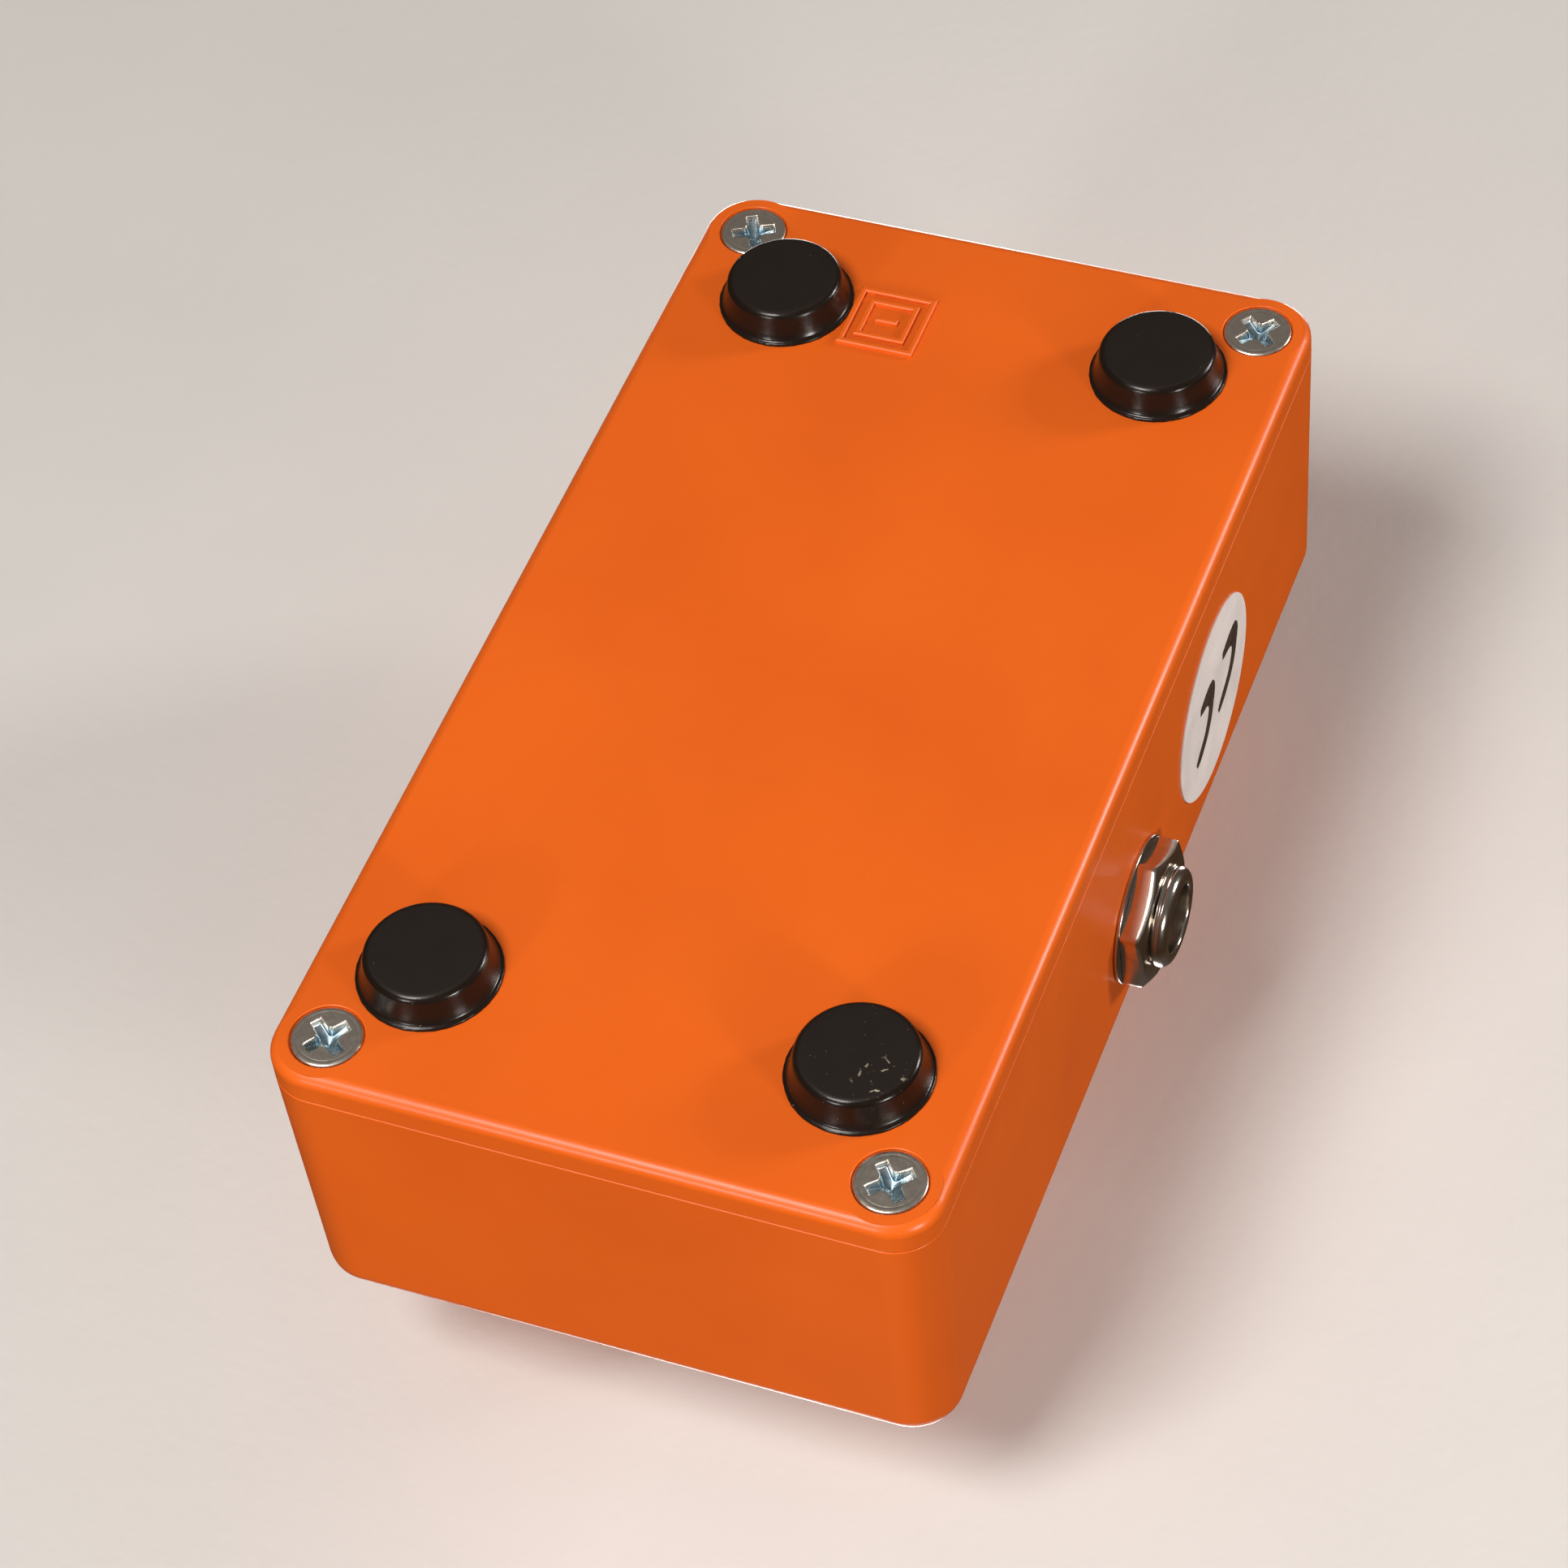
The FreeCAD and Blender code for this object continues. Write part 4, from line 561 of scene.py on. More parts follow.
@dataclass(frozen=True)
class MouldedRubber:
    """Black moulded rubber: a matte standing face with dust in it, and smoother sides."""

    name: str
    dusty: float = 0.25
    lint_at: Optional[tuple[float, float]] = None
    colour: Colour = (0.0100, 0.0058, 0.0038)
    lint: Colour = (0.34, 0.29, 0.22)
    face_gloss: float = 0.66
    side_gloss: float = 0.21

    def material(self) -> bpy.types.Material:
        """Lay out the rubber; the standing face is at the pedal's lowest level."""
        mix = Recipe(self.name)
        face = mix.spread(mix.axis("Z"), 0.06 * MM, 0.16 * MM, 1.0, 0.0)
        crumbs = mix.specks(1900.0, 0.055 * MM, self.dusty * 0.5)
        rim = mix.spread(mix.axis("Z"), 0.9 * MM, 2.6 * MM, 0.35, 1.0)
        lint = mix.maths("MULTIPLY", crumbs, mix.maths("MULTIPLY", rim, 0.7))
        if self.lint_at:
            lint = mix.maths("MAXIMUM", lint, self.fibres(mix, face))
        tone = mix.blend(mix.maths("MINIMUM", lint, 1.0), self.colour, self.lint)
        gloss = mix.spread(face, 0.0, 1.0, self.side_gloss, self.face_gloss)
        drift = mix.spread(mix.noise(420.0, 4.0), 0.3, 0.7, -0.05, 0.06)
        mix.set(Base_Color=tone, Roughness=mix.maths("ADD", gloss, drift), Specular_IOR_Level=0.24)
        mix.bump((mix.noise(2400.0, 4.0, 0.7), 0.009 * MM), (mix.noise(500.0, 2.0), 0.02 * MM),
                 (lint, 0.03 * MM))
        return mix.material

    def fibres(self, mix: Recipe, face: bpy.types.NodeSocket) -> bpy.types.NodeSocket:
        """Short stray fibres caught in a patch of the standing face.

        Args:
            mix: The material being laid out.
            face: How much of a point belongs to the standing face.

        Returns:
            How much of a fibre lies at a point.
        """
        cloud = mix.add("ShaderNodeTexNoise")
        cloud.inputs["Scale"].default_value = 900.0
        mix.feed(cloud.inputs["Vector"], mix.place())
        bent = mix.add("ShaderNodeVectorMath", operation="MULTIPLY_ADD")
        mix.feed(bent.inputs[0], cloud.outputs["Color"])
        bent.inputs[1].default_value = (0.9 * MM, 0.9 * MM, 0.0)
        mix.feed(bent.inputs[2], mix.place())
        cells = mix.add("ShaderNodeTexVoronoi", feature="DISTANCE_TO_EDGE")
        cells.inputs["Scale"].default_value = 620.0
        mix.feed(cells.inputs["Vector"], bent.outputs["Vector"])
        strand = mix.spread(cells.outputs["Distance"], 0.02, 0.045, 1.0, 0.0)
        broken = mix.spread(mix.noise(1100.0, 1.0), 0.53, 0.57)
        from_x = mix.maths("SUBTRACT", mix.axis("X"), self.lint_at[0])
        from_y = mix.maths("SUBTRACT", mix.axis("Y"), self.lint_at[1])
        patch = mix.spread(mix.reach(from_x, from_y), 1.4 * MM, 2.8 * MM, 1.0, 0.0)
        return mix.maths("MULTIPLY", mix.maths("MULTIPLY", strand, broken),
                         mix.maths("MULTIPLY", patch, face))


@dataclass(frozen=True)
class MouldedPlastic:
    """Moulded plastic with a fine grain and slight wear of its gloss."""

    name: str
    colour: Colour
    roughness: float = 0.42
    grain: float = 0.008 * MM
    lumps: float = 1800.0
    shine: float = 0.0

    def material(self) -> bpy.types.Material:
        """Lay out the plastic."""
        mix = Recipe(self.name)
        shade = tuple(channel * 0.82 for channel in self.colour)
        tone = mix.blend(mix.spread(mix.noise(150.0, 4.0), 0.35, 0.65), shade, self.colour)
        handled = mix.spread(mix.noise(340.0, 5.0, 0.65), 0.35, 0.7,
                             self.roughness - 0.05, self.roughness + 0.08)
        mix.set(Base_Color=tone, Roughness=handled, Coat_Weight=self.shine, Coat_Roughness=0.12)
        mix.bump((mix.noise(self.lumps, 3.0, 0.6), self.grain),
                 (mix.noise(300.0, 2.0), self.grain * 0.8))
        return mix.material


@dataclass(frozen=True)
class TintedLens:
    """A diffused, tinted lamp lens with a bright skin."""

    name: str = "red_lens"
    colour: Colour = (0.62, 0.012, 0.010)

    def material(self) -> bpy.types.Material:
        """Lay out the lens."""
        mix = Recipe(self.name)
        cloud = mix.spread(mix.noise(900.0, 4.0), 0.35, 0.7)
        tone = mix.blend(cloud, self.colour, (0.80, 0.05, 0.03))
        mix.set(Base_Color=tone, Roughness=mix.spread(cloud, 0.0, 1.0, 0.08, 0.16),
                Transmission_Weight=0.35, Coat_Weight=0.6, Coat_Roughness=0.05, IOR=1.5)
        mix.bump((mix.noise(1600.0, 2.0), 0.002 * MM))
        return mix.material


@dataclass(frozen=True)
class Foam:
    """Closed-cell foam with open cells on its cut faces, with painted shade darkening the colour down in the
    cells.
    """

    name: str = "grey_foam"
    colour: Colour = (0.09, 0.09, 0.09)

    def material(self) -> bpy.types.Material:
        """Lay out the foam."""
        mix = Recipe(self.name)
        cells_and_shade = mix.spread(mix.noise(2600.0, 3.0, 0.6), 0.35, 0.6)
        # Painted shade: the colour goes darker where the bump sinks into the cells.
        mix.set(Base_Color=mix.blend(cells_and_shade, (0.04, 0.04, 0.04), self.colour), Roughness=0.9)
        mix.bump((cells_and_shade, 0.12 * MM))
        return mix.material


@dataclass(frozen=True)
class Laminate:
    """A circuit board's solder mask over faint copper tracks."""

    name: str = "green_laminate"
    colour: Colour = (0.012, 0.12, 0.045)

    def material(self) -> bpy.types.Material:
        """Lay out the board."""
        mix = Recipe(self.name)
        tracks = mix.add("ShaderNodeTexBrick")
        mix.feed(tracks.inputs["Vector"], mix.place())
        tracks.inputs["Scale"].default_value = 260.0
        tracks.inputs["Mortar Size"].default_value = 0.12
        line = mix.spread(tracks.outputs["Fac"], 0.2, 0.8)
        mix.set(Base_Color=mix.blend(line, self.colour, (0.03, 0.22, 0.08)),
                Roughness=mix.spread(mix.noise(500.0), 0.3, 0.7, 0.28, 0.4), Coat_Weight=0.3)
        mix.bump((line, 0.03 * MM))
        return mix.material


class Finish(Enum):
    """The finishes of this pedal, each with the record's slot it stands for."""

    PAINT = ("box_paint", PowderCoat())
    NICKEL = ("nickel", Plating("nickel_plate"))
    SWITCH_NICKEL = ("nickel", Plating("switch_nickel", (0.78, 0.76, 0.73), (0.60, 0.57, 0.53), 0.13))
    BEZEL = ("bezel_chrome", Plating("lamp_bezel_chrome", (0.82, 0.83, 0.85), (0.62, 0.63, 0.66), 0.08))
    STEEL = ("pot_steel", Plating("plated_steel", (0.60, 0.60, 0.60), (0.40, 0.40, 0.41), 0.30))
    SHAFT = ("shaft_metal", Plating("turned_shaft", (0.76, 0.76, 0.77), (0.58, 0.58, 0.60), 0.24))
    BRASS = ("spring_brass", Plating("tinned_brass", (0.76, 0.62, 0.36), (0.50, 0.37, 0.20), 0.25))
    GRUB = ("grub_black", Plating("black_oxide", (0.05, 0.05, 0.055), (0.02, 0.02, 0.02), 0.35))
    CELL = ("battery_skin", Plating("battery_jacket", (0.10, 0.10, 0.11), (0.05, 0.05, 0.05), 0.32))
    BLACK = ("black_plastic", MouldedPlastic("black_housing", (0.014, 0.014, 0.015), 0.45))
    KNOB = ("knob_black", MouldedPlastic("knob_black", (0.010, 0.010, 0.011), 0.27, 0.004 * MM, 2600.0, 0.35))
    LINE = ("line_white", MouldedPlastic("line_filler", (0.80, 0.80, 0.76), 0.50, 0.010 * MM))
    NYLON = ("nylon", MouldedPlastic("natural_nylon", (0.78, 0.75, 0.68), 0.40, 0.006 * MM))
    SWITCH_CASE = ("switch_blue", MouldedPlastic("switch_case_blue", (0.025, 0.10, 0.38), 0.38))
    WAFER = ("wafer_brown", MouldedPlastic("phenolic_wafer", (0.17, 0.09, 0.04), 0.55))
    CHIP = ("chip_black", MouldedPlastic("chip_epoxy", (0.015, 0.015, 0.016), 0.55))
    CAN = ("can_blue", MouldedPlastic("capacitor_sleeve", (0.015, 0.035, 0.16), 0.25, shine=0.4))
    FILM = ("film_red", MouldedPlastic("capacitor_dip", (0.36, 0.035, 0.015), 0.22, shine=0.5))
    RESISTOR = ("resistor_tan", MouldedPlastic("resistor_lacquer", (0.52, 0.36, 0.18), 0.25, shine=0.4))
    TRIMMER = ("trimmer_blue", MouldedPlastic("trimmer_blue", (0.03, 0.12, 0.42), 0.40))
    LABEL = ("label_white", MouldedPlastic("label_vinyl", (0.88, 0.79, 0.75), 0.50, 0.004 * MM, 1200.0))
    INK = ("label_white", MouldedPlastic("label_ink", (0.050, 0.030, 0.022), 0.52, 0.006 * MM))
    LENS = ("lamp_red", TintedLens())
    FOAM = ("foam_grey", Foam())
    BOARD = ("board_green", Laminate())


class Dresser:
    """Makes each finish once and puts it on pieces."""

    def __init__(self) -> None:
        """Start with no material made."""
        self._made: dict[str, bpy.types.Material] = {}

    def wear(self, piece: bpy.types.Object, material: bpy.types.Material) -> None:
        """Give a piece one material all over."""
        piece.data.materials.clear()
        piece.data.materials.append(material)
        for polygon in piece.data.polygons:
            polygon.material_index = 0

    def dress(self, piece: bpy.types.Object, finish: Finish) -> bpy.types.Object:
        """Put a named finish on a piece.

        Args:
            piece: A new piece or a CAD node.
            finish: The finish it wears.

        Returns:
            The same piece.
        """
        slot, look = finish.value
        if finish.name not in self._made:
            self._made[finish.name] = look.material()
        self.wear(piece, self._made[finish.name])
        return piece

    def dress_nodes(self, finish: Finish, *nodes: str) -> None:
        """Put a finish on CAD nodes that keep their own shape."""
        for node in nodes:
            self.dress(frame["nodes"][node], finish)

    def add(self, piece: bpy.types.Object, finish: Finish, body: str, *nodes: str) -> bpy.types.Object:
        """Dress a new piece, let it ride on a body and stand for CAD nodes.

        Args:
            piece: The new piece.
            finish: The finish it wears.
            body: The body it moves with.
            nodes: The CAD nodes it stands for.

        Returns:
            The same piece.
        """
        self.dress(piece, finish)
        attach(piece, body)
        if nodes:
            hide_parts(*nodes)
        LOG.info("%s on %s", piece.name, body)
        return piece


# ---------------------------------------------------------------- sub-assemblies


@dataclass
class Casting:
    """The die-cast box and its base plate, which keep their CAD shapes."""

    dresser: Dresser

    def build(self) -> None:
        """Paint both castings."""
        self.dresser.dress_nodes(Finish.PAINT, "enclosure_body", "base_plate")
        LOG.info("box and base plate painted")


@dataclass
class CrossScrew:
    """A countersunk screw with a cross recess."""

    head: float = 3.15 * MM
    shank: float = 1.7 * MM
    rim: float = 0.25 * MM
    cone: float = 1.45 * MM
    length: float = 10.0 * MM
    wing_long: float = 2.15 * MM
    wing_half: float = 0.66 * MM
    deep: float = 1.28 * MM
    shallow: float = 0.50 * MM
    wall: float = 0.24 * MM
    fillet: float = 0.46 * MM

    def recess(self, x: float, y: float) -> float:
        """How deep the recess is at a point of the head.

        Args:
            x: Place along one pair of wings.
            y: Place along the other pair.

        Returns:
            The depth below the head's face.
        """
        radius = math.hypot(x, y)
        half = self.wing_half * (1.0 - 0.10 * radius / self.wing_long)
        first = max(abs(x) - self.wing_long, abs(y) - half)
        second = max(abs(y) - self.wing_long, abs(x) - half)
        gap = max(self.fillet - abs(first - second), 0.0) / self.fillet
        inside = -(min(first, second) - gap * gap * self.fillet * 0.25)
        if inside <= 0.0:
            return 0.0
        share = min(1.0, inside / self.wall)
        share = share * share * (3.0 - 2.0 * share)
        outward = min(1.0, radius / self.wing_long)
        return share * (self.deep + (self.shallow - self.deep) * outward)

    def build(self, name: str, place: AxisFrame) -> bpy.types.Object:
        """Make the screw.

        Args:
            name: The piece's name.
            place: Its axis, seated on the head's face and pointing out of it.

        Returns:
            The screw.
        """
        rings = 52
        reach = 2.45 * MM
        profile = [(reach * step / rings, 0.0) for step in range(rings + 1)]
        profile += [(2.55 * MM, 0.0), (2.60 * MM, -0.02 * MM), (2.66 * MM, 0.0), (self.head - 0.24 * MM, 0.0)]
        profile += [(self.head - 0.10 * MM, -0.03 * MM), (self.head - 0.02 * MM, -0.10 * MM)]
        profile += [(self.head, -self.rim), (self.shank, -self.rim - self.cone)]
        profile += [(self.shank, 0.6 * MM - self.length), (self.shank - 0.5 * MM, -self.length)]
        profile += [(0.0, -self.length)]

        def sink(radius: float, height: float, angle: float) -> tuple[float, float]:
            """Lower the head's face into the recess."""
            if height < 0.0 or radius > reach:
                return radius, height
            return radius, -self.recess(radius * math.cos(angle), radius * math.sin(angle))

        return revolve(name, profile, place, 208, sink, ring=False, sharp=50.0)


@dataclass
class BaseScrews:
    """The four screws of the base plate, each stopped at its own angle."""

    dresser: Dresser
    screw: CrossScrew = field(default_factory=CrossScrew)
    turns: tuple[tuple[str, int, int, float], ...] = (
        ("head_left", -1, 1, 38.0),
        ("head_right", 1, 1, 49.0),
        ("foot_right", 1, -1, 40.0),
        ("foot_left", -1, -1, 64.0),
    )

    def build(self) -> None:
        """Turn the four screws into the plate."""
        low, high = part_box("base_screws")
        pitch_x = (high.x - low.x) / 2 - self.screw.head
        pitch_y = (high.y - low.y) / 2 - self.screw.head
        zinc = TurnedZinc("turned_zinc", pitch_x, pitch_y, low.z).material()
        for corner, side, end, turn in self.turns:
            angle = math.radians(turn)
            place = AxisFrame(
                Vector((side * pitch_x, end * pitch_y, low.z + 0.03 * MM)),
                Vector((0, 0, -1)),
                Vector((math.cos(angle), math.sin(angle), 0)),
            )
            piece = self.screw.build(f"screw_{corner}", place)
            self.dresser.wear(piece, zinc)
            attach(piece, PEDAL)
            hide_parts("base_screws")
            LOG.info("%s on %s", piece.name, PEDAL)


@dataclass
class RubberFoot:
    """A stuck-on bumper: tapered, with a soft top edge and a thin ragged flange."""

    tip: float = 5.50 * MM
    base: float = 6.15 * MM
    flange: float = 6.45 * MM
    flange_thick: float = 0.32 * MM
    soft: float = 0.80 * MM
    dome: float = 0.05 * MM

    def build(self, name: str, node: str) -> bpy.types.Object:
        """Make the foot where its CAD node is.

        Args:
            name: The piece's name.
            node: The CAD node that it stands for.

        Returns:
            The foot.
        """
        low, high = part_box(node)
        tall = high.z - low.z
        flat = self.tip - self.soft
        profile = [(0.0, 0.0), (flat * 0.45, 0.0), (flat * 0.8, self.dome * 0.35), (flat, self.dome)]
        profile += arc((flat, self.soft + self.dome), self.soft, -84, -8, 10)
        shoulder = tall - self.flange_thick
        profile += [(self.tip + 0.25 * MM, shoulder * 0.62), (self.base - 0.12 * MM, shoulder - 0.22 * MM)]
        profile += [(self.base + 0.02 * MM, shoulder - 0.05 * MM), (self.base + 0.16 * MM, shoulder)]
        profile += [(self.flange - 0.06 * MM, shoulder + 0.03 * MM), (self.flange, shoulder + 0.12 * MM)]
        profile += [(self.flange - 0.02 * MM, tall), (0.0, tall)]
        chance = random.Random(name)
        waves = [(k, chance.uniform(0.0, PHASE_SPAN), chance.uniform(0.004, 0.012)) for k in (9, 17, 31, 47)]

        def ragged(radius: float, height: float, angle: float) -> tuple[float, float]:
            """Pull the flange's edge in unevenly."""
            if radius < self.base + 0.1 * MM:
                return radius, height
            swing = sum(size * (1 + math.sin(k * angle + phase)) for k, phase, size in waves)
            return radius - swing * MM, height

        place = upright(middle(node), low.z)
        return revolve(name, profile, place, 160, ragged, ring=False, sharp=70.0)


@dataclass
class Feet:
    """The four feet and how dusty each one is."""

    dresser: Dresser
    dusty: tuple[tuple[str, float], ...] = (
        ("head_left", 0.12),
        ("head_right", 0.95),
        ("foot_right", 0.16),
        ("foot_left", 0.10),
    )

    def build(self) -> None:
        """Make each foot with its own rubber."""
        for corner, dusty in self.dusty:
            node = f"rubber_foot_{corner}"
            piece = RubberFoot().build(f"bumper_{corner}", node)
            centre = middle(node)
            lint_at = (centre.x + 2.9 * MM, centre.y + 2.2 * MM) if dusty > 0.5 else None
            self.dresser.wear(piece, MouldedRubber(f"rubber_{corner}", dusty, lint_at).material())
            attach(piece, PEDAL)
            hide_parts(node)
            LOG.info("%s on %s", piece.name, PEDAL)


@dataclass
class SideLabel:
    """The round vinyl label on the right wall, with two plain hooked marks."""

    dresser: Dresser
    draft: float = 0.9
    ink: float = 0.03 * MM
    half_line: float = 0.72 * MM
    steps: int = 6
    swell: int = 5
    tail: float = 0.2
    marks: tuple[tuple[str, tuple[tuple[float, float], ...], float], ...] = (
        ("label_mark_foot", ((-2.6, -2.9), (-5.8, -2.7), (-6.1, -0.5), (-4.7, 1.7), (-1.3, 3.4)), 1.9),
        ("label_mark_head", ((4.1, -2.3), (1.2, -2.0), (1.0, 0.3), (2.5, 2.6), (5.3, 4.0)), 1.9),
    )

    def frame_at(self) -> AxisFrame:
        """The label's face, on the drafted wall."""
        low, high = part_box("side_label")
        lean = math.radians(self.draft)
        normal = Vector((math.cos(lean), 0.0, math.sin(lean)))
        sunk = (high.z - low.z) / 2 * math.sin(lean)
        centre = Vector((high.x - sunk, (low.y + high.y) / 2, (low.z + high.z) / 2))
        return AxisFrame(centre, normal, Vector((0, 1, 0)))

    def stroke(self, name: str, points: Sequence[tuple[float, float]],
               widths: Sequence[float]) -> bpy.types.Object:
        """An inked stroke: a flat ribbon along a path, with rounded ends.

        Args:
            name: The stroke's name.
            points: The path's points on the label, in millimetres.
            widths: Half the stroke's width at each point, as shares of half_line.

        Returns:
            The stroke as a thin closed piece.
        """
        path = [Vector((x * MM, y * MM)) for x, y in points]
        left: list[Vector] = []
        right: list[Vector] = []
        for number, point in enumerate(path):
            before = path[max(0, number - 1)]
            after = path[min(len(path) - 1, number + 1)]
            way = (after - before).normalized()
            side = Vector((-way.y, way.x)) * self.half_line * widths[number]
            left.append(point + side)
            right.append(point - side)
        outline = left + right[::-1]
        work = bmesh.new()
        verts = [work.verts.new((p.x, p.y, 0.0)) for p in outline]
        count = len(path)
        faces = [
            work.faces.new((verts[k], verts[k + 1], verts[2 * count - 2 - k], verts[2 * count - 1 - k]))
            for k in range(count - 1)
        ]
        raised = bmesh.ops.extrude_face_region(work, geom=faces)
        tops = [item for item in raised["geom"] if isinstance(item, bmesh.types.BMVert)]
        bmesh.ops.translate(work, verts=tops, vec=(0.0, 0.0, self.ink))
        return finish_mesh(name, work, self.frame_at().matrix(), 40.0)

    def build(self) -> None:
        """Dress the label and draw its two hooked marks."""
        self.dresser.dress_nodes(Finish.LABEL, "side_label")
        for name, corners, heavy in self.marks:
            path = smooth_path(corners, self.steps)
            last = len(path) - 1
            widths = []
            for k in range(last + 1):
                body = 1.0 + (heavy - 1.0) * max(0.0, 1.0 - abs(k - self.steps) / self.swell)
                widths.append(min(0.6 + self.tail * k, body, 0.5 + self.tail * (last - k)))
            self.dresser.add(self.stroke(name, path, widths), Finish.INK, PEDAL)


@dataclass
class Jack:
    """One quarter-inch jack as it shows outside the box, with its housing behind."""

    dresser: Dresser
    name: str
    out: int
    corner: float = 33.5
    bore: float = 3.2 * MM
    thread: float = 4.7 * MM
    flange: float = 6.3 * MM
    flange_thick: float = 1.0 * MM
    chamfer: float = 0.95 * MM
    nut_flats: float = 12.0 * MM
    washer_bore: float = 4.9 * MM
    washer_edge: float = 6.95 * MM
    nut_gap: float = 0.30 * MM
    lip: float = 0.28 * MM

    def axis(self, x: float) -> AxisFrame:
        """The jack's axis from a place along X."""
        centre = middle(f"{self.name}_nut")
        return AxisFrame(Vector((x, centre.y, centre.z)), Vector((self.out, 0, 0)), Vector((0, 1, 0)))

    def extent(self, part: str) -> tuple[float, float]:
        """A CAD piece's inner and outer ends along the jack's axis."""
        low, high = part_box(f"{self.name}_{part}")
        return (low.x, high.x) if self.out > 0 else (high.x, low.x)

    def bushing(self) -> bpy.types.Object:
        """The threaded bushing, with its thread's start rounded over."""
        inner, outer = self.extent("bushing")
        length = abs(outer - inner)
        tip = self.thread - self.chamfer
        profile = [(self.bore, 0.0), (self.flange, 0.0), (self.flange, self.flange_thick)]
        profile += [(self.thread, self.flange_thick), (self.thread, length - self.chamfer - 0.1 * MM)]
        profile += arc((tip, length - self.chamfer), self.chamfer, 8, 78, 7)
        profile += [(tip - 0.1 * MM, length)]
        profile += arc((self.bore + self.lip, length - self.lip), self.lip, 90, 180, 5)
        thread = Thread(self.thread, self.flange_thick + 0.3 * MM, length - 0.85 * MM)
        return revolve(f"{self.name}_threaded_bushing", dense(profile, 0.085 * MM), self.axis(inner),
                       144, thread.shape, sharp=60.0)

    def build(self) -> None:
        """Make the jack's outside pieces and dress its inside."""
        inner, outer = self.extent("washer")
        disc = washer(f"{self.name}_flat_washer", self.axis(inner), self.washer_edge, self.washer_bore,
                      abs(outer - inner))
        inner, outer = self.extent("nut")
        nut = hex_nut(f"{self.name}_hexagon_nut", self.axis(inner), self.nut_flats,
                      abs(outer - inner), self.thread - self.nut_gap, self.corner)
        for piece, part in ((self.bushing(), "bushing"), (disc, "washer"), (nut, "nut")):
            self.dresser.add(piece, Finish.NICKEL, PEDAL, f"{self.name}_{part}")
        self.dresser.dress_nodes(Finish.BLACK, f"{self.name}_housing")
        self.dresser.dress_nodes(Finish.BRASS, f"{self.name}_contacts")


@dataclass
class PowerSocket:
    """The moulded power socket in the left wall, with its centre pin."""

    dresser: Dresser

    def build(self) -> None:
        """Dress the socket's pieces."""
        self.dresser.dress_nodes(Finish.BLACK, "power_socket_housing")
        self.dresser.dress_nodes(Finish.NICKEL, "power_socket_pin")
        self.dresser.dress_nodes(Finish.BRASS, "power_socket_spring")
        LOG.info("power socket dressed")


@dataclass
class RateControl:
    """The rotary control under the knob."""

    dresser: Dresser
    thread: float = 3.45 * MM

    def build(self) -> None:
        """Make the nut and washer, and dress the rest."""
        self.dresser.dress_nodes(Finish.STEEL, "pot_can")
        self.dresser.dress_nodes(Finish.NICKEL, "pot_bushing")
        self.dresser.dress_nodes(Finish.WAFER, "pot_wafer")
        self.dresser.dress_nodes(Finish.SHAFT, "pot_shaft")
        place, tall, wide = seat("pot_washer")
        disc = washer("rate_control_washer", place, wide, self.thread + 0.2 * MM, tall)
        self.dresser.add(disc, Finish.NICKEL, PEDAL, "pot_washer")
        low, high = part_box("pot_nut")
        nut = hex_nut("rate_control_nut", upright(middle("pot_nut"), low.z), high.y - low.y,
                      high.z - low.z, self.thread)
        self.dresser.add(nut, Finish.NICKEL, PEDAL, "pot_nut")


@dataclass
class Knob:
    """The fluted knob, its pointer line and its set screw."""

    dresser: Dresser

    def build(self) -> None:
        """Dress the knob's pieces."""
        self.dresser.dress_nodes(Finish.KNOB, "rate_knob")
        self.dresser.dress_nodes(Finish.LINE, "knob_line")
        self.dresser.dress_nodes(Finish.GRUB, "knob_set_screw")
        LOG.info("knob dressed")


